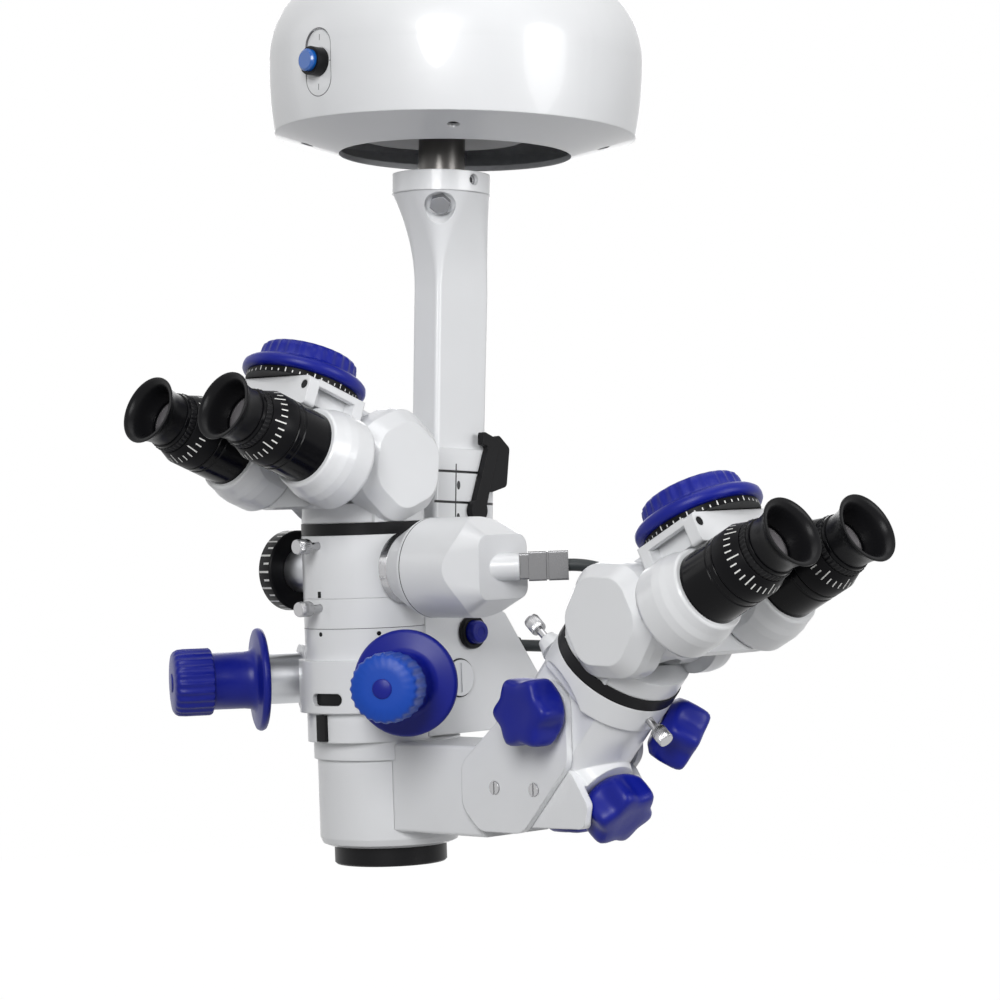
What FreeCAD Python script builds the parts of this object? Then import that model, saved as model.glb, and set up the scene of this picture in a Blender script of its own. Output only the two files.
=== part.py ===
import FreeCAD, Part
import math
import os

# Ceiling-hung surgical microscope with a face-to-face assistant tube, in millimetres.
# Frame: X to the surgeon's right, Y away from the surgeon, Z up.
# The origin is the centre of the bolting face on top of the displacement coupling.
# The microscope head leans a little towards the surgeon, so it is built upright in
# a head frame and then placed: its origin is the centre of the objective's lower face.

V = FreeCAD.Vector
Turn = FreeCAD.Rotation
Place = FreeCAD.Placement
AX, AY, AZ = V(1, 0, 0), V(0, 1, 0), V(0, 0, 1)

# Clearances
RUN = 0.06            # radial clearance of a shaft in its bore
SEAT = 0.05           # gap between a piece and the seat that it is fixed in
SLIDE = 0.2           # gap on each side of a slide
AIR = 0.35            # gap between two pieces that move past each other

# Displacement coupling: cover, bolting plate and the two crossed slides
FLANGE_R = 45.0
BOLT_CIRCLE_R = 32.0
BOLT_COUNT = 6
BOLT_HOLE_R = 3.3
CABLE_BORE_R = 14.0
FLANGE_H = 12.0
COVER_R = 111.0
COVER_TOP_R = 80.0
COVER_H = 104.0
COVER_WIDE_DROP = 51.0
COVER_CORNER_R = 107.0
COVER_CORNER_RISE = 11.0
COVER_BULGE = 3.0
COVER_SHOULDER = 14.0
COVER_WALL = 3.5
OPENING_R = 69.0
HUB_PLATE_R = 66.0
HUB_PLATE_H = 13.0
STAGE_PLATE_R = 92.0
STAGE_PLATE_H = 8.0
POST_CIRCLE_R = 88.0
POST_R = 6.0
POST_COUNT = 4
COVER_SCREW_R = 3.6
COVER_SCREW_L = 9.0
RAIL_NECK_W = 6.0
RAIL_NECK_H = 4.0
RAIL_HEAD_W = 12.0
RAIL_HEAD_H = 6.0
RAIL_L = 132.0
BLOCK_W = 22.0
BLOCK_H = 14.5
BLOCK_L = 24.0
BLOCK_DROP = 1.5
X_RAIL_Y = 36.0
Y_RAIL_X = 32.0
BLOCK_PITCH = 54.0
STAGE_H = 6.0
Y_RAIL_L = 96.0
Y_BLOCK_PITCH = 26.0
STAGE_OFFSET_Y = -11.0
BEARING_R = 21.0
SHIELD_R = 48.0
SHIELD_T = 3.0
SHIELD_LIFT = 8.5
BUTTON_Z = -74.0
BUTTON_R = 6.4
BUTTON_L = 11.0
BUTTON_STROKE = 2.0
BEZEL_R = 8.2
BEZEL_OUT = 6.0
RECESS_W = 21.0
RECESS_H = 38.0
RECESS_DEPTH = 1.6

# Carrier arm: swivel shaft, hub, stem, focus carriage and its release lever
SHAFT_R = 13.8
SHAFT_HEAD_R = 19.0
SHAFT_HEAD_H = 4.0
SHAFT_VISIBLE = 13.0
HUB_R = 29.0
HUB_H = 12.0
FLARE_H = 56.0
SHAFT_GRIP = 21.0
STEM_W = 21.8
STEM_FRONT = -12.0
STEM_REAR = 28.5
STEM_TAPER = 2.0
STEM_GRIP = 50.0
STEM_ROUND = 3.0
CLAMP_POCKET_R = 9.0
CLAMP_POCKET_DEPTH = 6.0
CLAMP_DROP = 10.0
CLAMP_HEAD_R = 6.3
CLAMP_HEAD_H = 4.0
SET_SCREW_R = 3.2
SET_SCREW_DROP = 5.0
CARRIAGE_WALL = 3.4
CARRIAGE_H = 86.0
CARRIAGE_TOP = -291.0
CARRIAGE_SEAM = 1.2
CARRIAGE_SEAMS = (13.0, 31.0, 49.0)
TONGUE_W = 21.0
TONGUE_R = 13.0
TILT_PIN_R = 6.0
TILT_PIN_L = 54.0
LEVER_T = 4.5
LEVER_PIVOT_R = 3.5
LEVER_BOSS_R = 6.5
LEVER_HEIGHT = 46.0
LEVER_REACH = 25.0

# Microscope head
HEAD_Y = -44.2
HEAD_Z = -531.7
HEAD_LEAN = 3.7
OBJECTIVE_R = 32.5
OBJECTIVE_H = 11.0
OBJECTIVE_SPIGOT_R = 30.0
OBJECTIVE_SPIGOT_H = 8.0
LENS_R = 27.0
LENS_EDGE = 3.0
LENS_BULGE = 3.0
LENS_RECESS = 2.5
LOWER_R = 40.5
LOWER_H = 50.5
LOWER_ROUND = 5.0
LIGHT_BORE_R = 25.0
RING_R = 42.5
RING_H = 10.5
BODY_R = 36.0
BODY_Y = -13.0
BODY_H = 82.0
BODY_BORE_R = 28.0
MODULE_H = 36.0
MODULE_REAR = 14.0
MODULE_ROUND = 9.0
HOUSING_W = 66.0
HOUSING_REAR = 95.0
HOUSING_TOP_REAR = 66.0
HOUSING_SLOPE_FOOT = 28.0
HOUSING_H = 70.0
HOUSING_WALL = 3.0
HOUSING_ROUND = 6.0
PIVOT_Y = 46.0
PIVOT_H = 128.0
PIVOT_CHEEK_R = 13.0
COLLAR_R = 40.0
COLLAR_H = 30.0
COLLAR_LIFT = 17.0
SLOT_W = 21.0
SLOT_H = 7.0
SLOT_LIFT = 8.0
SLOT_TURN = 9.0
KNOB_H = 107.0
KNOB_ANGLE = 32.0
KNOB_X = 60.7
KNOB_Y = -40.2
KNOB_BOSS_R = 19.5
KNOB_GAP = 22.0
KNOB_SHAFT_R = 14.8
KNOB_STUB_R = 7.0
KNOB_STUB_L = 24.0
KNOB_FLANGE_R = 30.0
KNOB_FLANGE_T = 5.0
KNOB_SLEEVE_R = 16.5
KNOB_SLEEVE_L = 26.0
KNOB_CAP_R = 19.0
KNOB_CAP_L = 23.0
KNOB_FLUTES = 16
KNOB_FLUTE_R = 2.2
DIAL_Y = -15.0
DIAL_RISE = 15.5
DIAL_R = 23.5
DIAL_T = 11.0
DIAL_GAP = 18.0
DIAL_HUB_R = 13.0
DIAL_STUB_R = 6.0
DIAL_STUB_L = 8.0
DEPTH_KNOB_Y = 38.0
DEPTH_KNOB_H = 131.0
DEPTH_KNOB_R = 8.2
DEPTH_KNOB_OUT = 9.0
LATCH_Y = 27.8
LATCH_H = 105.0
LATCH_R = 10.5
LATCH_OUT = 1.2
SMALL_STEM_R = 3.0
SMALL_STEM_L = 2.4
THUMB_R = 4.0
THUMB_L = 9.0
THUMB_NECK_R = 2.2
THUMB_NECK_L = 7.5
THUMB_UPPER_RISE = 30.5
THUMB_LOWER_DROP = 5.0

# Video camera on the right-hand port
CAMERA_Y = -15.4
CAMERA_RISE = 16.4
CAMERA_RING_R = 20.5
CAMERA_RING_L = 6.0
CAMERA_CONE_L = 17.0
CAMERA_R = 28.3
CAMERA_END = 115.0
CAMERA_TAPER_L = 22.0
CAMERA_FACE_W = 38.0
CAMERA_FACE_H = 36.0
CAMERA_FACE_ROUND = 7.0
PORT_ANGLE = 45.0
PORT_R = 7.6
PORT_L = 9.0
PLUG_L = 27.0
PLUG_H = 16.5
PLUG_W = 11.0
PLUG_COLLAR_L = 5.0
CABLE_R = 3.5
GLAND_R = 6.5
GLAND_L = 16.0

# Co-observation box, its cheeks and the tilting arm
BOX_W = 52.0
BOX_END = 104.0
BOX_BOTTOM = 21.0
BOX_TOP = 71.4
BOX_ROUND = 2.0
CHEEK_T = 4.3
CO_PIVOT_X = 131.0
CO_PIVOT_H = 52.0
CHEEK_LEFT = 91.5
CHEEK_RIGHT = 173.5
CHEEK_LOW = 25.0
CHEEK_ROUND = 12.0
CHEEK_TOP_X = 159.0
CHEEK_TOP_H = 93.0
AXLE_R = 8.0
CHEEK_SCREW_R = 3.6
CHEEK_SCREW_X = (117.7, 147.8)
CHEEK_SCREW_H = 49.6
TUBE_LEAN = 42.0
CO_RING_X = 186.4
CO_RING_H = 118.4
ARM_HUB_R = 24.0
SLEEVE_R = 36.0
SLEEVE_L = 15.0
NECK_R = 34.5
NECK_L = 48.0
ARM_TOE_X = 180.0
ARM_TOE_H = 30.0
COLLAR_B_R = 25.4
COLLAR_B_DROP = 63.0
COLLAR_B_OUT = 37.0

# Star knobs
STAR_R = 20.5
STAR_BASE_R = 14.0
STAR_BASE_L = 4.0
STAR_SKIRT_L = 6.0
STAR_L = 13.0
STAR_LOBES = 6
STAR_SCALLOP_R = 9.5
STAR_SCALLOP_OUT = 26.5
STAR_STEM_R = 4.0
STAR_STEM_L = 9.0
STAR_SHORT_STEM_L = 4.0
STAR_SWEEP = 6.5         # room round the upper star knob as the arm tilts past it

# Binocular tubes
MOUNT_RING_H = 7.0
MOUNT_RING_BORE_R = 22.0
FORK_BASE_H = 11.0
FORK_INNER = 22.0
FORK_OUTER = 31.0
CAP_OUTER = 44.0
CAP_R = 32.0
CAP_REACH = 33.0
CAP_FACE_R = 24.0
TUBE_PIVOT_Y = -4.0
TUBE_PIVOT_Z = 39.0
TUBE_PIN_R = 8.0
BARREL_HEAD_R = 26.0
EYE_DROP = 14.5
SLAB_T = 4.2
SLAB_W = 84.0
SLAB_ROUND = 14.0
THROAT_DROP = 19.0
HOUSING_FRONT = 67.0
OCULAR_R = 27.0
OCULAR_NOSE_R = 23.5
OCULAR_NOSE_L = 6.0
OCULAR_INNER = 23.0
OCULAR_TOP_CUT = 26.5
DECK_W = 50.0
DECK_H = 12.5
BRACKET_FRONT = 77.0
BRACKET_T = 8.0
BRACKET_W = 66.0
BRACKET_BOTTOM = 8.0
BRACKET_HOLE_R = 2.6
BRACKET_HOLE_X = 29.0
BRACKET_HOLE_N = 19.5
GUIDE_BAR_T = 4.0
WHEEL_F = 54.0
WHEEL_BASE_H = 6.0
WHEEL_FLANGE_R = 36.0
WHEEL_FLANGE_T = 5.0
WHEEL_SCALE_R = 33.0
WHEEL_R = 27.5
WHEEL_TOP_H = 11.0
WHEEL_FLUTES = 18
WHEEL_FLUTE_R = 2.6
WHEEL_AXLE_R = 6.0
WHEEL_AXLE_H = 9.0
BARREL_R = 20.5
BARREL_L = 24.0
BARREL_SPIGOT_R = 17.0
BARREL_SPIGOT_L = 10.0
BARREL_GUIDE_R = 14.0
BARREL_GUIDE_L = 16.0
SCALE_RING_L = 13.0
SCALE_RING_SMALL_R = 17.0
RIB_RING_L = 8.0
EYECUP_WAIST_R = 15.5
EYECUP_R = 19.0
EYECUP_L = 18.5
EYECUP_WALL = 2.2
EYE_BORE_R = 12.0
MAIN_PD = 64.0
MAIN_ELEVATION = 21.8
ASSISTANT_PD = 60.0
ASSISTANT_ELEVATION = 68.5


# Shape helpers


def box(x0, x1, y0, y1, z0, z1):
    return Part.makeBox(x1 - x0, y1 - y0, z1 - z0, V(x0, y0, z0))


def rod(radius, start, direction, length):
    return Part.makeCylinder(radius, length, start, direction)


def cone(r_start, r_end, start, direction, length):
    return Part.makeCone(r_start, r_end, length, start, direction)


def rounded_outline(corners, radius):
    """Closed wire through corners, each one rounded by an arc of this radius."""
    edges = []
    last = None
    first = None
    count = len(corners)
    for i in range(count):
        here = corners[i]
        back = (corners[i - 1] - here).normalize()
        ahead = (corners[(i + 1) % count] - here).normalize()
        half = back.getAngle(ahead) / 2
        leg = radius / math.tan(half)
        start = here + back * leg
        end = here + ahead * leg
        inward = (back + ahead).normalize()
        middle = here + inward * (radius / math.sin(half) - radius)
        if last is not None:
            edges.append(Part.LineSegment(last, start).toShape())
        else:
            first = start
        edges.append(Part.Arc(start, middle, end).toShape())
        last = end
    edges.append(Part.LineSegment(last, first).toShape())
    return Part.Wire(edges)


def prism(wire, direction):
    return Part.Face(wire).extrude(direction)


def rounded_box(x0, x1, y0, y1, z0, z1, radius):
    """Upright box whose four vertical edges are rounded."""
    corners = [V(x0, y0, z0), V(x1, y0, z0), V(x1, y1, z0), V(x0, y1, z0)]
    return prism(rounded_outline(corners, radius), V(0, 0, z1 - z0))


def side_plate(points, radius, x0, x1):
    """Plate across X whose outline is given as (y, z) corners."""
    corners = [V(x0, y, z) for y, z in points]
    return prism(rounded_outline(corners, radius), V(x1 - x0, 0, 0))


def front_plate(points, radius, y0, y1):
    """Plate across Y whose outline is given as (x, z) corners."""
    corners = [V(x, y0, z) for x, z in points]
    return prism(rounded_outline(corners, radius), V(0, y1 - y0, 0))


def lathe(profile):
    """Solid of revolution about Z from (radius, z) corners."""
    wire = Part.makePolygon([V(r, 0, z) for r, z in profile + profile[:1]])
    return Part.Face(wire).revolve(V(0, 0, 0), AZ, 360)


def aim(start, direction):
    """Placement that stands the Z axis of a piece along direction from start."""
    return Place(start, Turn(AZ, direction))


def placed(shape, place):
    copy = shape.copy()
    copy.Placement = place.multiply(copy.Placement)
    return copy


def fuse(first, *others):
    return first.fuse(list(others)).removeSplitter()


def cut(first, *others):
    return first.cut(list(others))


def around(shape, count, axis=AZ, centre=None, start=0.0):
    """Copies of shape at equal angles about an axis."""
    centre = centre or V(0, 0, 0)
    copies = []
    for i in range(count):
        copy = shape.copy()
        copy.rotate(centre, axis, start + 360.0 * i / count)
        copies.append(copy)
    return copies


# Frames

HEAD = Place(V(0, HEAD_Y, HEAD_Z), Turn(AX, HEAD_LEAN))
LOWER_TOP = OBJECTIVE_H + LOWER_H
BODY_BASE = LOWER_TOP + RING_H
MODULE_BASE = BODY_BASE + BODY_H
SEAT_H = MODULE_BASE + MODULE_H
THUMB_UPPER_H = MODULE_BASE + THUMB_UPPER_RISE
THUMB_LOWER_H = MODULE_BASE - THUMB_LOWER_DROP
CAMERA_H = MODULE_BASE + CAMERA_RISE
DIAL_H = MODULE_BASE + DIAL_RISE
LEAN = math.radians(TUBE_LEAN)
TUBE_AXIS = V(math.sin(LEAN), 0, math.cos(LEAN))
TUBE_DOWN = V(math.cos(LEAN), 0, -math.sin(LEAN))
CO_SEAT = V(CO_RING_X, 0, CO_RING_H) - TUBE_AXIS * (MOUNT_RING_H / 2)
MAIN_TUBE = Place(V(0, BODY_Y, SEAT_H), Turn())
ASSISTANT_TUBE = Place(CO_SEAT, Turn(AY, TUBE_LEAN).multiply(Turn(AZ, 90)))


def eye_frame(elevation):
    """Frame of the tilting eyepiece head in a tube: minus Y looks at the observer."""
    return Place(V(0, TUBE_PIVOT_Y, TUBE_PIVOT_Z), Turn(AX, -elevation))


# Heights in the coupling, from the bolting face down

COVER_TOP = -FLANGE_H
COVER_BOTTOM = COVER_TOP - COVER_H
COVER_CORNER_Z = COVER_BOTTOM + COVER_CORNER_RISE
HUB_PLATE_TOP = COVER_TOP - COVER_WALL - SEAT
STAGE_PLATE_TOP = HUB_PLATE_TOP - HUB_PLATE_H
X_RAIL_TOP = STAGE_PLATE_TOP - STAGE_PLATE_H
X_STAGE_TOP = X_RAIL_TOP - BLOCK_DROP - BLOCK_H
Y_RAIL_TOP = X_STAGE_TOP - STAGE_H
Y_STAGE_TOP = Y_RAIL_TOP - BLOCK_DROP - BLOCK_H
Y_STAGE_BOTTOM = Y_STAGE_TOP - STAGE_H
SHIELD_TOP = COVER_BOTTOM + SHIELD_LIFT + SHIELD_T


def cover_profile(inset):
    """Half outline of the cover, moved inwards by the wall."""
    top = V(COVER_TOP_R - inset, 0, COVER_TOP - inset)
    shoulder_r = COVER_R - COVER_SHOULDER * 0.9 - inset
    shoulder = V(shoulder_r, 0, COVER_TOP - COVER_SHOULDER - inset * 0.7)
    wide = V(COVER_R - inset, 0, COVER_TOP - COVER_WIDE_DROP)
    lower_z = (wide.z + COVER_CORNER_Z) / 2
    lower = V((COVER_R + COVER_CORNER_R) / 2 + COVER_BULGE / 3 - inset, 0, lower_z)
    corner = V(COVER_CORNER_R - inset, 0, COVER_CORNER_Z + inset)
    lip = V(OPENING_R, 0, COVER_BOTTOM + inset)
    sides = [Part.Arc(top, shoulder, wide).toShape(), Part.Arc(wide, lower, corner).toShape()]
    return top, sides, corner, lip


def cover_bottom_at(radius):
    """Height of the conical underside at this radius."""
    slope = COVER_CORNER_RISE / (COVER_CORNER_R - OPENING_R)
    return COVER_BOTTOM + slope * (radius - OPENING_R)


# Inside of the cone at the outer edge of a post, where the post's foot rests

CONE_RUN = (POST_CIRCLE_R + POST_R - OPENING_R) / (COVER_CORNER_R - COVER_WALL - OPENING_R)
POST_FOOT = COVER_BOTTOM + COVER_WALL + CONE_RUN * COVER_CORNER_RISE + SEAT
COVER_SCREW_LOW = cover_bottom_at(POST_CIRCLE_R) + 1.2


def line(start, end):
    return Part.LineSegment(start, end).toShape()


def post_places(z):
    angles = [math.radians(45 + 360.0 * i / POST_COUNT) for i in range(POST_COUNT)]
    return [V(POST_CIRCLE_R * math.cos(a), POST_CIRCLE_R * math.sin(a), z) for a in angles]


def coupling_cover():
    top_out, sides_out, corner_out, lip_out = cover_profile(0)
    top_in, sides_in, corner_in, lip_in = cover_profile(COVER_WALL)
    neck = FLANGE_R + SEAT
    rim_out = V(neck, 0, COVER_TOP)
    rim_in = V(neck, 0, COVER_TOP - COVER_WALL)
    edges = [line(rim_out, top_out)] + sides_out + [line(corner_out, lip_out)]
    edges += [line(lip_out, lip_in), line(lip_in, corner_in)]
    edges += sides_in + [line(top_in, rim_in), line(rim_in, rim_out)]
    shell = Part.Face(Part.Wire(Part.__sortEdges__(edges))).revolve(V(0, 0, 0), AZ, 360)
    half_w = RECESS_W / 2
    half_h = RECESS_H / 2
    front = -COVER_R
    corners = [(-half_w, BUTTON_Z - half_h), (half_w, BUTTON_Z - half_h),
               (half_w, BUTTON_Z + half_h), (-half_w, BUTTON_Z + half_h)]
    recess = front_plate(corners, half_w - 0.5, front - 2, front + RECESS_DEPTH)
    bezel_hole = rod(BEZEL_R + SEAT, V(0, front - 2, BUTTON_Z), AY, COVER_WALL * 3)
    holes = [rod(COVER_SCREW_R + SEAT, p, AZ, COVER_WALL * 4) for p in post_places(COVER_BOTTOM)]
    return cut(shell, recess, bezel_hole, *holes)


def coupling_top_plate():
    """Bolting flange, hub plate and stage plate, with a bore for the cables."""
    plate = lathe([(CABLE_BORE_R, 0), (FLANGE_R, 0), (FLANGE_R, HUB_PLATE_TOP),
                   (HUB_PLATE_R, HUB_PLATE_TOP), (HUB_PLATE_R, STAGE_PLATE_TOP),
                   (STAGE_PLATE_R, STAGE_PLATE_TOP), (STAGE_PLATE_R, X_RAIL_TOP),
                   (CABLE_BORE_R, X_RAIL_TOP)])
    hole = rod(BOLT_HOLE_R, V(BOLT_CIRCLE_R, 0, X_RAIL_TOP - 1), AZ, -X_RAIL_TOP + 2)
    return cut(plate, *around(hole, BOLT_COUNT))


def rail(length, top):
    """Guide rail along X that hangs from the height top, with a neck and a wider head."""
    neck = box(-length / 2, length / 2, -RAIL_NECK_W / 2, RAIL_NECK_W / 2, top - RAIL_NECK_H, top)
    head_top = top - RAIL_NECK_H
    head = box(-length / 2, length / 2, -RAIL_HEAD_W / 2, RAIL_HEAD_W / 2,
               head_top - RAIL_HEAD_H, head_top)
    return fuse(neck, head)


def block(top):
    """Carriage block that grips the rail head from below."""
    upper = top - BLOCK_DROP
    body = box(-BLOCK_L / 2, BLOCK_L / 2, -BLOCK_W / 2, BLOCK_W / 2, upper - BLOCK_H, upper)
    neck = RAIL_NECK_W / 2 + SLIDE
    head = RAIL_HEAD_W / 2 + SLIDE
    head_top = top - RAIL_NECK_H + SLIDE
    head_low = top - RAIL_NECK_H - RAIL_HEAD_H - SLIDE
    neck_slot = box(-BLOCK_L, BLOCK_L, -neck, neck, head_top - 1, top)
    head_slot = box(-BLOCK_L, BLOCK_L, -head, head, head_low, head_top)
    return cut(body, neck_slot, head_slot)


def moved(shape, x=0.0, y=0.0, z=0.0):
    return placed(shape, Place(V(x, y, z), Turn()))


def quarter_turned(shape):
    return placed(shape, Place(V(0, 0, 0), Turn(AZ, 90)))


def rails_and_posts():
    """Guide rails along X, and the posts between the stage plate and the cover."""
    pieces = [moved(rail(RAIL_L, X_RAIL_TOP), y=side * X_RAIL_Y) for side in (-1, 1)]
    for foot, low in zip(post_places(POST_FOOT), post_places(COVER_SCREW_LOW)):
        post = rod(POST_R, foot, AZ, X_RAIL_TOP - SEAT - POST_FOOT)
        pieces.append(cut(post, rod(COVER_SCREW_R + SEAT, low, AZ, COVER_SCREW_L + SEAT)))
    return Part.makeCompound(pieces)


def cross_stage():
    """Stage that runs along X and carries the rails along Y."""
    half_x = Y_RAIL_X + BLOCK_W / 2
    half_y = X_RAIL_Y + BLOCK_W / 2
    pieces = [rounded_box(-half_x, half_x, -half_y, half_y, Y_RAIL_TOP, X_STAGE_TOP, 5)]
    for side in (-1, 1):
        for end in (-1, 1):
            pieces.append(moved(block(X_RAIL_TOP), end * BLOCK_PITCH / 2, side * X_RAIL_Y))
        pieces.append(moved(quarter_turned(rail(Y_RAIL_L, Y_RAIL_TOP)), side * Y_RAIL_X))
    window = rod(BEARING_R, V(0, 0, Y_RAIL_TOP - 1), AZ, STAGE_H + 2)
    return cut(fuse(*pieces), window)


def bearing_stage():
    """Stage that runs along Y, with the swivel bearing and the shield disc below."""
    half_x = Y_RAIL_X + BLOCK_W / 2
    half_y = (Y_BLOCK_PITCH + BLOCK_L) / 2
    pieces = [rounded_box(-half_x, half_x, -half_y, half_y, Y_STAGE_BOTTOM, Y_STAGE_TOP, 5)]
    for side in (-1, 1):
        for end in (-1, 1):
            one = moved(quarter_turned(block(Y_RAIL_TOP)), side * Y_RAIL_X, end * Y_BLOCK_PITCH / 2)
            pieces.append(one)
    pieces.append(rod(BEARING_R, V(0, 0, SHIELD_TOP), AZ, Y_STAGE_BOTTOM - SHIELD_TOP))
    pieces.append(rod(SHIELD_R, V(0, 0, SHIELD_TOP - SHIELD_T), AZ, SHIELD_T))
    bore = rod(SHAFT_R + RUN, V(0, 0, COVER_BOTTOM), AZ, Y_STAGE_TOP - COVER_BOTTOM + 1)
    return moved(cut(fuse(*pieces), bore), y=STAGE_OFFSET_Y)


def button_bezel():
    """Round sleeve around the release button, with a flange behind the cover wall."""
    back = -COVER_R + COVER_WALL + SEAT + 2.4
    tube = rod(BEZEL_R, V(0, -COVER_R - BEZEL_OUT, BUTTON_Z), AY, BEZEL_OUT + COVER_WALL + 5)
    flange = rod(BEZEL_R + 3, V(0, back, BUTTON_Z), AY, 4)
    bore = rod(BUTTON_R + RUN, V(0, -COVER_R - BEZEL_OUT - 1, BUTTON_Z), AY, 30)
    return cut(fuse(tube, flange), bore)


def coupling_button():
    front = -COVER_R - BEZEL_OUT - BUTTON_STROKE - 1.5
    body = rod(BUTTON_R, V(0, front + 1, BUTTON_Z), AY, BUTTON_L - 1)
    crown = cone(BUTTON_R - 1.2, BUTTON_R, V(0, front, BUTTON_Z), AY, 1)
    return fuse(crown, body)


def cover_screws():
    """Socket screws through the conical underside into the posts."""
    screws = []
    for place in post_places(0):
        start = V(place.x, place.y, COVER_SCREW_LOW)
        body = rod(COVER_SCREW_R, start, AZ, COVER_SCREW_L)
        socket = rod(COVER_SCREW_R * 0.5, start, AZ, 2)
        screws.append(cut(body, socket))
    return Part.makeCompound(screws)


# Carrier arm, in the frame of the swivel axis

ARM_AT = Place(V(0, STAGE_OFFSET_Y, 0), Turn())
HUB_TOP = COVER_BOTTOM - SHAFT_VISIBLE
HUB_BOTTOM = HUB_TOP - HUB_H
STEM_TOP = HUB_BOTTOM - FLARE_H
FLARE_HALF = HUB_R - 1
FLARE_ROUND = FLARE_HALF * 0.95
FLARE_SHARES = (0, 0.15, 0.3, 0.5, 0.75, 1)
CLAMP_OUT = V(0.55, -0.55, -0.63).normalize()
SET_SCREW_OUT = V(1, -0.05, 0).normalize()
STEM_BOTTOM = CARRIAGE_TOP - STEM_GRIP
STEM_L = STEM_TOP - STEM_BOTTOM
HEAD_PIVOT = HEAD.multVec(V(0, PIVOT_Y, PIVOT_H))


def swivel_shaft():
    foot = HUB_TOP - SHAFT_GRIP
    shaft = rod(SHAFT_R, V(0, 0, foot), AZ, Y_STAGE_TOP - foot)
    head = rod(SHAFT_HEAD_R, V(0, 0, Y_STAGE_TOP + RUN), AZ, SHAFT_HEAD_H)
    joined = fuse(shaft, head, rod(SHAFT_R, V(0, 0, Y_STAGE_TOP - 1), AZ, 2))
    wires = rod(SHAFT_R * 0.4, V(0, 0, foot - 1), AZ, Y_STAGE_TOP - foot + SHAFT_HEAD_H * 3)
    return placed(cut(joined, wires), ARM_AT)


def stem_outline(half, front, rear, radius, z):
    corners = [V(-half, front, z), V(half, front, z), V(half, rear, z), V(-half, rear, z)]
    return rounded_outline(corners, radius)


def stem_section(z):
    """Rectangular section of the stem with rounded corners, at the height z."""
    rear = STEM_REAR + STEM_TAPER * (z - STEM_BOTTOM) / STEM_L
    return stem_outline(STEM_W / 2, STEM_FRONT, rear, STEM_ROUND, z)


def flare_size(drop):
    """Half width, front and corner radius of the flare at this depth below the hub."""
    share = drop / FLARE_H
    ease = share * (2 - share)
    half = FLARE_HALF + (STEM_W / 2 - FLARE_HALF) * ease
    front = -FLARE_HALF + (STEM_FRONT + FLARE_HALF) * ease
    return half, front, FLARE_ROUND + (STEM_ROUND - FLARE_ROUND) * ease


def flare_section(drop):
    half, front, radius = flare_size(drop)
    rear = FLARE_HALF + (STEM_REAR + STEM_TAPER - FLARE_HALF) * drop / FLARE_H
    return stem_outline(half, front, rear, radius, HUB_BOTTOM - drop)


def clamp_seat():
    """Point on the flare's corner where the clamping bolt enters, facing down and out."""
    half, front, radius = flare_size(CLAMP_DROP)
    reach = radius * math.sqrt(0.5)
    return V(half - radius + reach, front + radius - reach, HUB_BOTTOM - CLAMP_DROP)


def carrier_arm():
    """Clamping hub that flares down into the flat stem."""
    hub = rod(HUB_R, V(0, 0, HUB_BOTTOM), AZ, HUB_H)
    flare = Part.makeLoft([flare_section(FLARE_H * share) for share in FLARE_SHARES], True)
    stem = Part.makeLoft([stem_section(STEM_BOTTOM), stem_section(STEM_TOP)], True)
    bore = rod(SHAFT_R + SEAT, V(0, 0, HUB_TOP - SHAFT_GRIP - SEAT), AZ, SHAFT_GRIP + 1)
    set_hole = rod(SET_SCREW_R + SEAT, V(0, 0, HUB_TOP - SET_SCREW_DROP), SET_SCREW_OUT, HUB_R + 2)
    pocket = rod(CLAMP_POCKET_R, clamp_seat() - CLAMP_OUT * CLAMP_POCKET_DEPTH, CLAMP_OUT,
                 CLAMP_POCKET_DEPTH * 3)
    return placed(cut(fuse(hub, flare, stem), bore, set_hole, pocket), ARM_AT)


def clamp_bolts():
    """Hexagon bolt in the pocket under the hub, and the set screw in its side."""
    corners = [V(CLAMP_HEAD_R * math.cos(math.radians(60 * i)),
                 CLAMP_HEAD_R * math.sin(math.radians(60 * i)), 0) for i in range(7)]
    head = Part.Face(Part.makePolygon(corners)).extrude(V(0, 0, CLAMP_HEAD_H))
    bolt = placed(head, aim(clamp_seat() - CLAMP_OUT * (CLAMP_POCKET_DEPTH - SEAT), CLAMP_OUT))
    height = V(0, 0, HUB_TOP - SET_SCREW_DROP)
    screw = rod(SET_SCREW_R, height + SET_SCREW_OUT * (SHAFT_R + SEAT * 2), SET_SCREW_OUT,
                HUB_R - SHAFT_R - 3)
    socket = rod(SET_SCREW_R * 0.5, height + SET_SCREW_OUT * (HUB_R - 6), SET_SCREW_OUT, 5)
    return placed(Part.makeCompound([bolt, cut(screw, socket)]), ARM_AT)


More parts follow.
